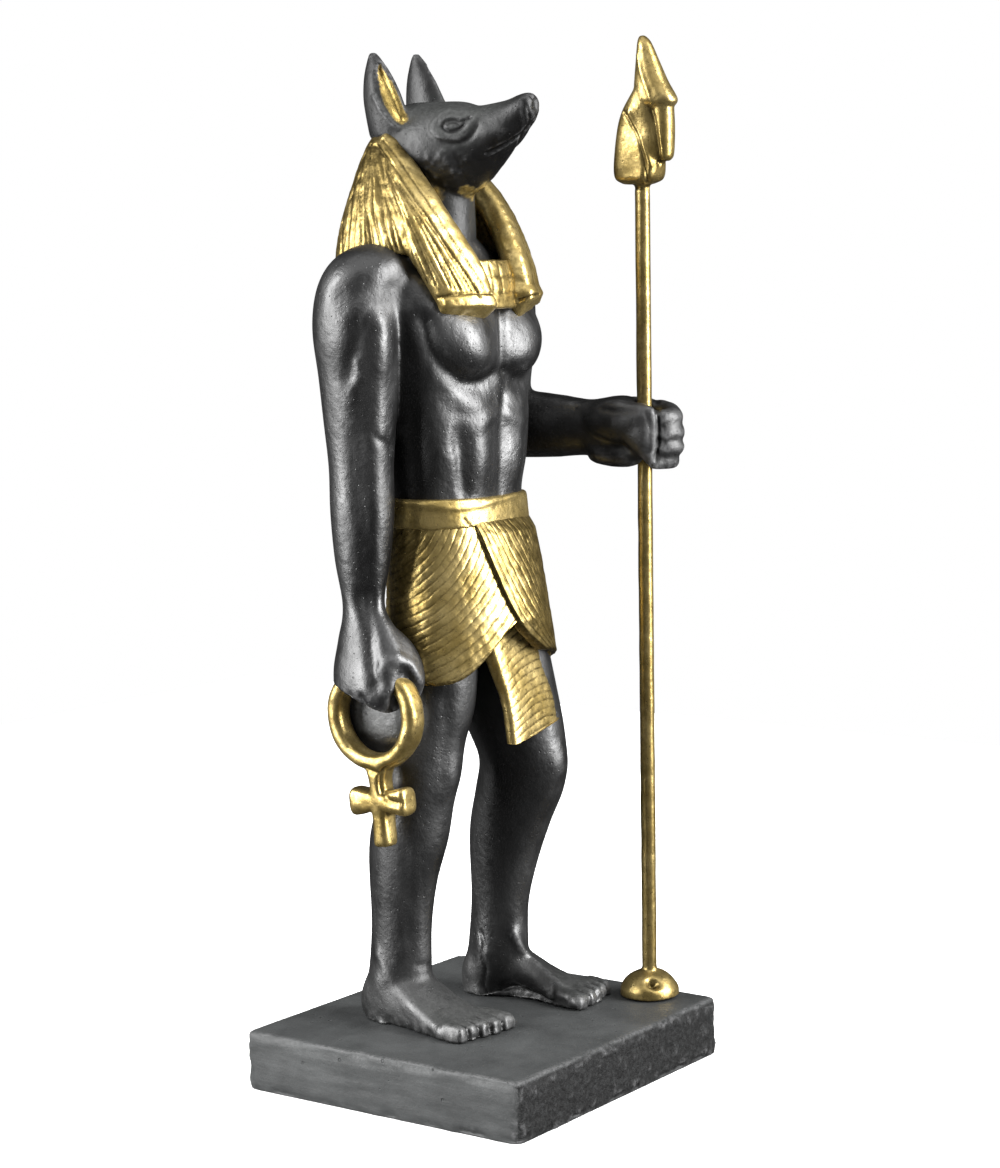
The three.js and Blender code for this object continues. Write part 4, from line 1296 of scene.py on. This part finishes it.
def make_looped_cross(sizes):
    thick = LOOP["thick"] / 2 - 0.1
    neck = CROSS["width"] / 2
    arm = CROSS["arm_height"] / 2
    tip = CROSS["span"] / 2
    drop = -CROSS["arm_drop"]
    flared = [
        [0, tip, drop, thick * 0.74, arm * 0.8, 2.8],
        [0, tip - 0.8, drop, thick, arm * 1.08, 3.4],
        [0, tip - 3.2, drop, thick, arm * 0.98, 3.6],
    ]
    clay = Clay.cast([
        ring_form(LOOP["radius"], LOOP["band"] / 2, thick, 2.9),
        loft([
            [0, 0, -LOOP["radius"] - 0.5, thick, neck * 1.5, 3.4],
            [0, 0, drop + 5, thick, neck * 0.95, 3.4],
            [0, 0, drop, thick, neck, 3.4],
            [0, 0, drop - 5, thick * 0.9, neck * 0.95, 3.4],
            [0, 0, -CROSS["foot_drop"] + 0.6, thick * 0.86, neck, 3],
            [0, 0, -CROSS["foot_drop"], thick * 0.6, neck * 0.7, 2.4],
        ], facing=Z_AXIS, spacing=FINE),
        loft([
            *([x, -y, *rest] for x, y, *rest in flared),
            [0, 0, drop, thick, arm * 0.7, 3.8],
            *reversed(flared),
        ], facing=Y_AXIS, spacing=FINE),
    ], sizes.small_detail)
    clay.smooth(3)
    clay.points = leaning(clay.points)
    clay.draw(CROSS_STROKES)
    clay.raise_by(0.12 * grain(clay.points, 2.4, 7))
    return clay


# The sceptre

HOOD = [
    [0, 1, 226.2, 3.4, 3.8, 2.6],
    [0, 0.8, 228, 4.9, 5.9, 3.6],
    [0, 0.6, 234, 4.3, 6.4, 3.6],
    [0, 0.4, 240.6, 3.4, 6.1, 3],
    [0, -0.2, 245.4, 3.8, 5, 2.2],
    [0, -1.2, 249.8, 3.4, 3, 2],
]
CREST = [
    [0, -4.4, 245.8, 3.4, 5.2, 2.4],
    [0, -4.2, 247.4, 4, 5.8, 2.4],
    [0, -2.9, 252.2, 3.7, 4.3, 2.2],
    [0, -1.8, 257.6, 2.8, 2.9, 2],
    [0, -0.9, 261.8, 1.8, 1.7, 2],
    [0, -0.4, 263.4, 0.7, 0.7, 2],
]
MUZZLE = [
    [0, -6, 231.8, 1.8, 2, 2],
    [0, -6.2, 233.4, 2.8, 2.8, 2.2],
    [0, -6.4, 240, 3, 2.9, 2.2],
    [0, -6.2, 246.4, 2.9, 2.8, 2.2],
]
FOOT_DOME = {"radius": 8, "height": 6.4}
# Share of the dome's height, and share of its radius there
FOOT_DOME_PROFILE = [(0, 1), (0.42, 0.96), (0.84, 0.66)]
ROD_LEAN = (math.radians(-0.1), math.radians(-0.14))
SCEPTRE_STROKES = [
    ([(622, 110), (631, 123), (639, 139), (645, 165), (648, 182)], 0.45, 0.5),
    ([(629, 112), (640, 140), (651, 165)], 0.6, -0.35),
    ([(652, 110), (655, 130), (660, 163)], 0.6, 0.7),
    ([(637, 55), (642, 76), (650, 98), (653, 112)], 0.6, -0.25),
    ([(633, 187), (640, 189), (650, 187)], 0.6, 0.4),
]
DOME_HOLE = [([(652, 983), (654, 984)], 1.2, 2)]


def upright(width, depth, z, squareness=2.0):
    """A station on the sceptre's own middle line."""
    return [0, 0, z, width, depth, squareness]


def make_sceptre(sizes):
    radius, height = FOOT_DOME["radius"], FOOT_DOME["height"]
    dome = [
        upright(radius * wide, radius * wide, GROUND + height * high) for high, wide in FOOT_DOME_PROFILE
    ]
    dome.append(upright(ROD_RADIUS * 0.9, ROD_RADIUS * 0.9, GROUND + height * 1.05))
    rod = [upright(ROD_RADIUS, ROD_RADIUS, z) for z in np.linspace(GROUND + 2, ROD_TOP, 12)]
    heads = [loft(stations, facing=Z_AXIS, spacing=FINE) for stations in (dome, HOOD, CREST, MUZZLE)]
    clay = Clay.cast([*heads, loft(rod, facing=Z_AXIS, sides=32)], sizes.small_detail)
    clay.smooth(4)
    x, y, z = clay.points.T
    lean_x, lean_y = ROD_LEAN
    clay.points = np.stack([x + ROD_X + lean_y * z, y + ROD_Y - lean_x * z, z], 1)
    clay.draw(SCEPTRE_STROKES)
    at_foot = past(clay.points[:, 2], GROUND + FOOT_DOME["height"], -2)
    clay.raise_by(0.06 * grain(clay.points, 5, 8) + at_foot * (0.5 * grain(clay.points, 5, 9) - 0.2))
    # the hole is darkened with painted shade
    clay.draw(DOME_HOLE, marked_dark=True)
    clay.points[:, 2] = np.clip(clay.points[:, 2], GROUND, SCEPTRE_HIGH[2])
    return clay


# The plinth

PLINTH_DETAIL = 0.8 * MM
PLINTH_SQUARENESS = 60
EDGE_CHIPS = 0.8  # how deep the worn edges are eaten in
EDGE_REACH = 1.3
CORNER_REACH = 1.6


def make_plinth():
    size = PLINTH_HIGH - PLINTH_LOW
    middle = (PLINTH_HIGH + PLINTH_LOW) / 2
    clay = Clay.cast([loft([
        [*middle[:2], height, *(size[:2] / 2 - inset), PLINTH_SQUARENESS]
        for height, inset in (
            (PLINTH_LOW[2] + 0.05, 0.9), (PLINTH_LOW[2] + 0.9, 0.1),
            (PLINTH_HIGH[2] - 1, 0.1), (PLINTH_HIGH[2] - 0.05, 1),
        )
    ], facing=Z_AXIS, sides=400, spacing=0.5)], PLINTH_DETAIL)
    clay.smooth(2)
    p = clay.points
    n = clay.normals()
    right_side = clamp(-n[:, 0])
    front = clamp(-n[:, 1])
    top = clamp(n[:, 2])
    streaks = grain(p * (0.12, 0.12, 1), 1.1, 11)
    rough = roughness_of(p, (0.6, 2.2, 12), (0.4, 1.1, 13))
    from_edge = np.minimum(PLINTH_HIGH[2] - p[:, 2], p[:, 2] - PLINTH_LOW[2])
    edge = np.exp(-((from_edge / EDGE_REACH) ** 2)) * clamp(right_side + front)
    from_corner = size[:2] / 2 - np.abs(p[:, :2] - middle[:2])
    corner = np.exp(-((from_corner / CORNER_REACH) ** 2).sum(1)) * (1 - top)
    chips = np.clip(0.4 + grain(p, 4.4, 15) + 0.5 * grain(p, 1.4, 16), 0, 1.6)
    clay.raise_by(
        -0.16 * right_side * (0.6 + streaks) - 0.5 * front * (0.7 + rough) - 0.08 * top * grain(p, 7, 14)
        - EDGE_CHIPS * (edge + corner) * chips
    )
    clay.points = np.clip(clay.points, PLINTH_LOW, PLINTH_HIGH)
    # the front face is marked for its stony roughness and for painted shade
    clay.marks["stony_and_shaded"] = front
    return clay


# Materials

LEAF_METAL = 0.9
RESIN_SHINE = 0.68  # the specular level of the paint; 0.5 is plain plastic
HEAD_SHINE = 0.28
STONE_SHINE = 0.26


class Paint:
    """A material under way: its nodes, and the sockets that its layers end in."""

    def __init__(self, name):
        self.material = bpy.data.materials.new(name)
        self.material.use_nodes = True
        self.tree = self.material.node_tree
        self.shader = self.tree.nodes["Principled BSDF"]

    def noise(self, size, detail=3.0, rough=0.55, squash=None):
        """Noise in lumps of size millimetres, on the object's own coordinates."""
        place = add(self.tree, "ShaderNodeTexCoord").outputs["Object"]
        if squash:
            place = add(self.tree, "ShaderNodeMapping", {"Vector": place, "Scale": squash}).outputs[0]
        return add(self.tree, "ShaderNodeTexNoise", {
            "Vector": place, "Scale": 1 / (size * MM), "Detail": detail, "Roughness": rough,
        }).outputs["Fac"]

    def pits(self, size, edge, middle):
        """Small round pits, size millimetres apart, that fall from their edge to their middle."""
        place = add(self.tree, "ShaderNodeTexCoord").outputs["Object"]
        distance = add(self.tree, "ShaderNodeTexVoronoi", {
            "Vector": place, "Scale": 1 / (size * MM), "Randomness": 1.0,
        }).outputs["Distance"]
        return self.stretch(distance, edge, middle)

    def mark(self, name):
        return add(self.tree, "ShaderNodeAttribute", attribute_name=name).outputs["Fac"]

    def maths(self, operation, a, b, limit=False):
        made = add(self.tree, "ShaderNodeMath", {0: a, 1: b}, operation=operation, use_clamp=limit)
        return made.outputs[0]

    def times(self, a, b, limit=False):
        return self.maths("MULTIPLY", a, b, limit)

    def stretch(self, value, low, high, to_low=0.0, to_high=1.0):
        return stretch(self.tree, value, low, high, to_low, to_high)

    def blend(self, share, first, second):
        return blend_colour(self.tree, share, first, second)

    def bump(self, height, distance, strength=1.0, before=None):
        inputs = {"Height": height, "Distance": distance * MM, "Strength": strength}
        if before:
            inputs["Normal"] = before
        return add(self.tree, "ShaderNodeBump", inputs).outputs[0]

    def finish(self, colour, roughness, relief):
        """Links the finished layers to the shader and gives the material."""
        self.tree.links.new(colour, self.shader.inputs["Base Color"])
        self.tree.links.new(roughness, self.shader.inputs["Roughness"])
        self.tree.links.new(relief, self.shader.inputs["Normal"])
        return self.material


def add(tree, kind, inputs=(), **settings):
    """A node with its settings, and its inputs given as values or as sockets to link from."""
    made = tree.nodes.new(kind)
    for key, value in settings.items():
        setattr(made, key, value)
    for key, value in dict(inputs).items():
        if isinstance(value, bpy.types.NodeSocket):
            tree.links.new(value, made.inputs[key])
        else:
            made.inputs[key].default_value = value
    return made


def stretch(tree, value, low, high, to_low, to_high):
    return add(tree, "ShaderNodeMapRange", {
        "Value": value, "From Min": low, "From Max": high, "To Min": to_low, "To Max": to_high,
    }).outputs[0]


def blend_colour(tree, share, first, second):
    mixer = add(tree, "ShaderNodeMix", data_type="RGBA")
    sockets = [s for s in mixer.inputs if s.type == "RGBA"]
    for socket, value in zip(sockets, (first, second)):
        if isinstance(value, bpy.types.NodeSocket):
            tree.links.new(value, socket)
        else:
            socket.default_value = (*value, 1.0)
    factor = [s for s in mixer.inputs if s.type == "VALUE"][0]
    tree.links.new(share, factor)
    return [s for s in mixer.outputs if s.type == "RGBA"][0]


def resin_paint(finish, name="charcoal_paint", gilded=False):
    """Charcoal paint over resin: satin, pitted, with lighter worn high spots, painted shade in hollows and
    creases, and dust with painted light on upward faces.
    """
    paint = Paint(name)
    broad = paint.noise(18, 4, 0.6)
    fine = paint.noise(1.1, 4, 0.65)
    smudges = paint.noise(7, 5, 0.65, (1, 1, 0.4))
    colour = paint.blend(paint.stretch(broad, 0.35, 0.7), finish.resin_dark[:], finish.resin_light[:])
    worn = paint.times(paint.mark("proud"), paint.stretch(fine, 0.35, 0.65), True)
    colour = paint.blend(worn, colour, finish.resin_worn[:])
    # painted shade: hollows are darkened
    colour = paint.blend(paint.mark("hollow"), colour, finish.resin_shade[:])
    # dust, and painted light on upward faces and on the web
    colour = paint.blend(paint.times(paint.mark("dust_and_painted_light"), fine), colour, finish.resin_dust_and_light[:])
    base = finish.resin_roughness
    roughness = paint.stretch(smudges, 0.35, 0.65, base - 0.09, base + 0.1)
    roughness = paint.maths("ADD", roughness, paint.times(paint.mark("aged_and_shade"), 0.14))
    relief = paint.bump(fine, 0.06, 0.45)
    relief = paint.bump(paint.pits(1.5, 0.16, 0.05), -0.12, 0.6, relief)
    relief = paint.bump(paint.times(paint.mark("aged_and_shade"), paint.noise(1.7, 4, 0.7)), 0.3, 0.7, relief)
    relief = paint.bump(paint.noise(3.6, 3, 0.6), 0.35, 0.7, relief)
    if gilded:
        gilt = paint.mark("gilt")
        leaf = paint.blend(paint.stretch(fine, 0.35, 0.65), finish.gold_aged[:], finish.gold_dark[:])
        colour = paint.blend(gilt, colour, leaf)
        roughness = paint.maths("SUBTRACT", roughness, paint.times(gilt, 0.08))
        paint.tree.links.new(paint.times(gilt, LEAF_METAL), paint.shader.inputs["Metallic"])
    # painted shade: engraved lines, creases, the torso's flank, the far foot's arch and the web are
    # darkened
    colour = paint.blend(paint.mark("engraved_and_shade"), colour, finish.resin_shade[:])
    paint.shader.inputs["Specular IOR Level"].default_value = HEAD_SHINE if gilded else RESIN_SHINE
    return paint.finish(colour, roughness, relief)


def gold_leaf(finish):
    """Gold leaf on resin: warm and mottled, with dark specks and grooves where it has worn, and painted
    shade towards the backs of the kilt and headdress, on the flap and along its edge.
    """
    paint = Paint("leaf_on_resin")
    broad = paint.noise(9, 4, 0.6)
    fine = paint.noise(0.9, 4, 0.6)
    specks = paint.stretch(paint.noise(0.55, 2, 0.5), 0.66, 0.74)
    mottled = paint.stretch(paint.noise(3.2, 4, 0.65), 0.3, 0.6, 0.35, 1.0)
    colour = paint.blend(paint.stretch(broad, 0.35, 0.65), finish.gold_dark[:], finish.gold_light[:])
    colour = paint.blend(paint.stretch(fine, 0.45, 0.7, 0.0, 0.5), colour, finish.gold_aged[:])
    # the aged mark darkens the gold: patina, and painted shade towards the back and on the flap
    colour = paint.blend(paint.times(mottled, paint.mark("aged_and_shade")), colour, finish.gold_aged[:])
    colour = paint.blend(paint.times(specks, 0.7), colour, finish.gold_worn[:])
    # dark grooves and hollows, with painted shade along the flap's edge and in the sceptre foot's hole
    groove = paint.maths("ADD", paint.mark("hollow"), paint.mark("engraved_and_shade"), True)
    groove = paint.times(groove, paint.stretch(fine, 0.3, 0.6, 0.4, 0.9), True)
    colour = paint.blend(groove, colour, finish.gold_groove[:])
    base = finish.gold_roughness
    roughness = paint.stretch(fine, 0.3, 0.7, base - 0.08, base + 0.12)
    relief = paint.bump(fine, 0.08, 0.6)
    relief = paint.bump(paint.noise(2.6), 0.22, 0.55, relief)
    paint.shader.inputs["Metallic"].default_value = LEAF_METAL
    return paint.finish(colour, roughness, relief)


def plinth_paint(finish):
    """Grey-black resin that looks like stone: brushed on top, streaked and pitted at the sides, with its
    front face darkened as painted shade.
    """
    paint = Paint("plinth_paint")
    broad = paint.noise(14, 5, 0.65)
    fine = paint.noise(1.0, 5, 0.65)
    streaks = paint.noise(3.0, 4, 0.6, (0.1, 0.1, 1.2))
    cloudy = paint.stretch(broad, 0.3, 0.7, 0.15, 0.85)
    colour = paint.blend(cloudy, finish.plinth_dark[:], finish.plinth_light[:])
    colour = paint.blend(paint.stretch(streaks, 0.5, 0.75, 0.0, 0.3), colour, finish.plinth_dark[:])
    crystals = paint.stretch(paint.noise(1.3, 6, 0.75), 0.45, 0.8)
    stone_and_shade = paint.blend(crystals, finish.plinth_front_shade[:], finish.plinth_dark[:])
    # painted shade: the front face is darkened, with stony specks
    colour = paint.blend(paint.mark("stony_and_shaded"), colour, stone_and_shade)
    worn = paint.times(paint.mark("proud"), paint.stretch(fine, 0.4, 0.6), True)
    colour = paint.blend(worn, colour, finish.resin_worn[:])
    roughness = paint.stretch(fine, 0.3, 0.7, 0.42, 0.62)
    roughness = paint.maths("ADD", roughness, paint.times(paint.mark("stony_and_shaded"), 0.22))
    relief = paint.bump(fine, 0.16, 0.7)
    relief = paint.bump(streaks, 0.2, 0.6, relief)
    relief = paint.bump(paint.pits(4, 0.12, 0.06), -0.4, 0.8, relief)
    relief = paint.bump(paint.times(paint.mark("stony_and_shaded"), fine), 0.6, 0.8, relief)
    paint.shader.inputs["Specular IOR Level"].default_value = STONE_SHINE
    return paint.finish(colour, roughness, relief)


# Settings that a user would change

def colour_setting(name, value):
    return bpy.props.FloatVectorProperty(
        name=name, description=f"Colour of {name.lower()}", default=value, subtype="COLOR", min=0, max=1,
    )


def roughness_setting(name, description, value):
    return bpy.props.FloatProperty(
        name=name, description=description, default=value, min=0.15, max=1, subtype="FACTOR",
    )


def length_setting(name, description, value, low, high):
    """A length given in millimetres and held in metres."""
    return bpy.props.FloatProperty(
        name=name, description=description, default=value * MM, min=low * MM, max=high * MM,
        precision=5, unit="LENGTH",
    )


class OrnamentFinish(bpy.types.PropertyGroup):
    """The colours and gloss of the paint and the gold leaf."""

    resin_dark: colour_setting("Dark resin", (0.0016, 0.0016, 0.0017))
    resin_light: colour_setting("Light resin", (0.0045, 0.0045, 0.0046))
    resin_worn: colour_setting("Worn resin", (0.06, 0.06, 0.061))
    resin_dust_and_light: colour_setting("Dust and painted light on resin", (0.05, 0.052, 0.05))
    resin_shade: colour_setting("Painted shade on resin", (0.001, 0.001, 0.001))
    gold_light: colour_setting("Light gold", (0.56, 0.43, 0.18))
    gold_dark: colour_setting("Dark gold", (0.34, 0.245, 0.078))
    gold_aged: colour_setting("Aged gold", (0.125, 0.09, 0.028))
    gold_worn: colour_setting("Worn gold", (0.16, 0.115, 0.035))
    gold_groove: colour_setting("Gold in grooves", (0.06, 0.042, 0.012))
    plinth_dark: colour_setting("Dark plinth", (0.018, 0.019, 0.019))
    plinth_front_shade: colour_setting("Shaded front of plinth", (0.0015, 0.0015, 0.0015))
    plinth_light: colour_setting("Light plinth", (0.044, 0.046, 0.046))
    resin_roughness: roughness_setting("Resin roughness", "Roughness of the paint", 0.42)
    gold_roughness: roughness_setting("Gold roughness", "Roughness of the leaf", 0.33)


class OrnamentSizes(bpy.types.PropertyGroup):
    """Fineness of the skin and depth of the carving."""

    skin_detail: length_setting("Skin detail", "Width of the body's faces", 0.62, 0.3, 3)
    face_detail: length_setting("Face detail", "Width of the head's faces", 0.42, 0.2, 3)
    gilded_detail: length_setting("Gilded detail", "Width of the headdress's faces", 0.42, 0.2, 3)
    small_detail: length_setting("Small detail", "Width of the cross's and sceptre's faces", 0.36, 0.2, 3)
    strand_depth: length_setting("Strand depth", "Depth of the grooves between strands", 0.3, 0, 2)
    ear_depth: length_setting("Ear depth", "Depth of the ears' gilded hollows", 2, 0, 2.5)
    strand_count: bpy.props.IntProperty(
        name="Strands", description="Strands of the headdress all round", default=44, min=8, max=120,
    )


def settings():
    scene = bpy.context.scene
    return scene.ornament_sizes, scene.ornament_finish


def shared_leaf(finish):
    return bpy.data.materials.get("leaf_on_resin") or gold_leaf(finish)


class CastHead(bpy.types.Operator):
    """Sculpt the jackal's head, ears and neck."""

    bl_idname = "ornament.cast_head"
    bl_label = "Cast head"

    def execute(self, context):
        sizes, finish = settings()
        paint = resin_paint(finish, "charcoal_paint_with_leaf", True)
        make_head(sizes).fire("head", paint, "figure", "black_resin", 0.3)
        return {"FINISHED"}


class CastBody(bpy.types.Operator):
    """Sculpt the torso with its arms, and the legs."""

    bl_idname = "ornament.cast_body"
    bl_label = "Cast body"

    def execute(self, context):
        sizes, finish = settings()
        paint = resin_paint(finish)
        make_torso(sizes).fire("torso_and_arms", paint, "figure", "black_resin")
        make_legs(sizes).fire("legs", paint, "figure", "black_resin")
        return {"FINISHED"}


class CastHeaddress(bpy.types.Operator):
    """Sculpt the headdress with its strands, and the collar."""

    bl_idname = "ornament.cast_headdress"
    bl_label = "Cast headdress"

    def execute(self, context):
        sizes, finish = settings()
        leaf = shared_leaf(finish)
        make_headdress(sizes).fire("headdress", leaf, "figure", "gold_leaf")
        make_collar(sizes).fire("collar", leaf, "figure", "gold_leaf", 0.6)
        return {"FINISHED"}


class CastKilt(bpy.types.Operator):
    """Sculpt the belt, the kilt with its flap, and the apron."""

    bl_idname = "ornament.cast_kilt"
    bl_label = "Cast kilt"

    def execute(self, context):
        sizes, finish = settings()
        leaf = shared_leaf(finish)
        make_belt(sizes).fire("belt", leaf, "figure", "gold_leaf", 0.4)
        make_kilt().fire("kilt", leaf, "figure", "gold_leaf")
        # the whole flap is darkened: patina, and painted shade
        make_flap().fire("kilt_flap", leaf, "figure", "gold_leaf", 1.0)
        make_apron(sizes).fire("apron", leaf, "figure", "gold_leaf", 0.2)
        return {"FINISHED"}


class CastRegalia(bpy.types.Operator):
    """Sculpt the looped cross and the sceptre."""

    bl_idname = "ornament.cast_regalia"
    bl_label = "Cast cross and sceptre"

    def execute(self, context):
        sizes, finish = settings()
        leaf = shared_leaf(finish)
        make_looped_cross(sizes).fire("looped_cross", leaf, "ankh", "gold_leaf", 0.6)
        make_sceptre(sizes).fire("sceptre_rod", leaf, "sceptre", "gold_leaf", 0.65)
        return {"FINISHED"}


class CastPlinth(bpy.types.Operator):
    """Sculpt the block that it all stands on."""

    bl_idname = "ornament.cast_plinth"
    bl_label = "Cast plinth"

    def execute(self, context):
        _, finish = settings()
        make_plinth().fire("plinth_block", plinth_paint(finish), "plinth", "plinth_resin")
        return {"FINISHED"}


# The stage

FLOOR_SIZE = 1.0
FLOOR_CLOUDS = 400  # millimetres
FLOOR_ROUGHNESS = 0.9
FLOOR_GREY = ((0.86, 0.86, 0.86), (0.9, 0.9, 0.9))
LIGHTS_AIM = (0, 0, 0.13)
LIGHTS = [
    # name, turn from the camera to the right and rise, both in degrees, distance, width, height, watts
    ("left_softbox", -72, 18, 0.8, 0.4, 0.8, 20.0),
    ("right_softbox", 74, 20, 0.8, 0.34, 0.8, 25.0),
    ("top_softbox", -10, 74, 0.9, 0.9, 0.9, 5.0),
]
DIM_SURROUND = 0.042  # how much of the white surround shows in the shine
NEAR_CLIP = 0.01


def aim(thing, place, target):
    """Stands a light at a place so that it shines at the target."""
    away = Vector(place) - Vector(target)
    thing.matrix_world = Matrix.Translation(place) @ away.to_track_quat("Z", "Y").to_matrix().to_4x4()


class SetStage(bpy.types.Operator):
    """Set the floor, the lights and the camera."""

    bl_idname = "ornament.set_stage"
    bl_label = "Set stage"

    def execute(self, context):
        scene = context.scene
        self.make_floor(scene)
        self.make_lights(scene)
        self.make_camera(scene)
        return {"FINISHED"}

    def make_floor(self, scene):
        half = FLOOR_SIZE / 2
        corners = [(-half, -half, 0), (half, -half, 0), (half, half, 0), (-half, half, 0)]
        mesh = bpy.data.meshes.new("floor")
        mesh.from_pydata(corners, [], [(0, 1, 2, 3)])
        floor = bpy.data.objects.new("floor", mesh)
        scene.collection.objects.link(floor)
        paint = Paint("pale_floor")
        colour = paint.blend(paint.noise(FLOOR_CLOUDS, 2), *FLOOR_GREY)
        paint.tree.links.new(colour, paint.shader.inputs["Base Color"])
        paint.shader.inputs["Roughness"].default_value = FLOOR_ROUGHNESS
        mesh.materials.append(paint.material)
        floor.visible_glossy = False

    def make_lights(self, scene):
        target = Vector(LIGHTS_AIM)
        for name, turn, rise, distance, width, height, watts in LIGHTS:
            angle = CAMERA_AZIMUTH + math.radians(turn)
            rise = math.radians(rise)
            level = math.cos(rise)
            away = Vector((math.sin(angle) * level, -math.cos(angle) * level, math.sin(rise)))
            lamp = bpy.data.lights.new(name, "AREA")
            lamp.shape = "RECTANGLE"
            lamp.size = width
            lamp.size_y = height
            lamp.energy = watts
            holder = bpy.data.objects.new(name, lamp)
            scene.collection.objects.link(holder)
            aim(holder, target + away * distance, target)
        world = bpy.data.worlds.new("studio")
        world.use_nodes = True
        mirrored_ray = add(world.node_tree, "ShaderNodeLightPath").outputs["Is Glossy Ray"]
        surround = world.node_tree.nodes["Background"]
        strength = stretch(world.node_tree, mirrored_ray, 0, 1, 1, DIM_SURROUND)
        world.node_tree.links.new(strength, surround.inputs["Strength"])
        surround.inputs["Color"].default_value = (1, 1, 1, 1)
        scene.world = world
        scene.view_settings.view_transform = "Standard"

    def make_camera(self, scene):
        data = bpy.data.cameras.new("camera")
        data.sensor_fit = "VERTICAL"
        data.sensor_height = SENSOR
        data.lens = SENSOR * FOCAL_PIXELS / IMAGE_HEIGHT
        data.clip_start = NEAR_CLIP
        camera = bpy.data.objects.new("camera", data)
        right, up, back = camera_axes()
        turn = Matrix([list(axis) for axis in (right, up, back)]).transposed().to_4x4()
        camera.matrix_world = Matrix.Translation(Vector(CAMERA_PLACE * MM)) @ turn
        scene.collection.objects.link(camera)
        scene.camera = camera


class OrnamentPanel(bpy.types.Panel):
    """Lists the steps and the settings."""

    bl_idname = "ORNAMENT_PT_panel"
    bl_label = "Jackal-headed Ornament"
    bl_space_type = "VIEW_3D"
    bl_region_type = "UI"
    bl_category = "Ornament"

    def draw(self, context):
        for group in (context.scene.ornament_sizes, context.scene.ornament_finish):
            for key in group.__annotations__:
                self.layout.prop(group, key)
        for step in STEPS:
            self.layout.operator(step.bl_idname)


STEPS = (CastHead, CastBody, CastHeaddress, CastKilt, CastRegalia, CastPlinth, SetStage)
CLASSES = (OrnamentFinish, OrnamentSizes, *STEPS, OrnamentPanel)


def register():
    for each in CLASSES:
        bpy.utils.register_class(each)
    bpy.types.Scene.ornament_sizes = bpy.props.PointerProperty(type=OrnamentSizes)
    bpy.types.Scene.ornament_finish = bpy.props.PointerProperty(type=OrnamentFinish)


def unregister():
    del bpy.types.Scene.ornament_finish
    del bpy.types.Scene.ornament_sizes
    for each in reversed(CLASSES):
        bpy.utils.unregister_class(each)


def main():
    register()
    bpy.ops.ornament.cast_head()
    bpy.ops.ornament.cast_body()
    bpy.ops.ornament.cast_headdress()
    bpy.ops.ornament.cast_kilt()
    bpy.ops.ornament.cast_regalia()
    bpy.ops.ornament.cast_plinth()
    bpy.ops.ornament.set_stage()


if __name__ == "__main__":
    main()
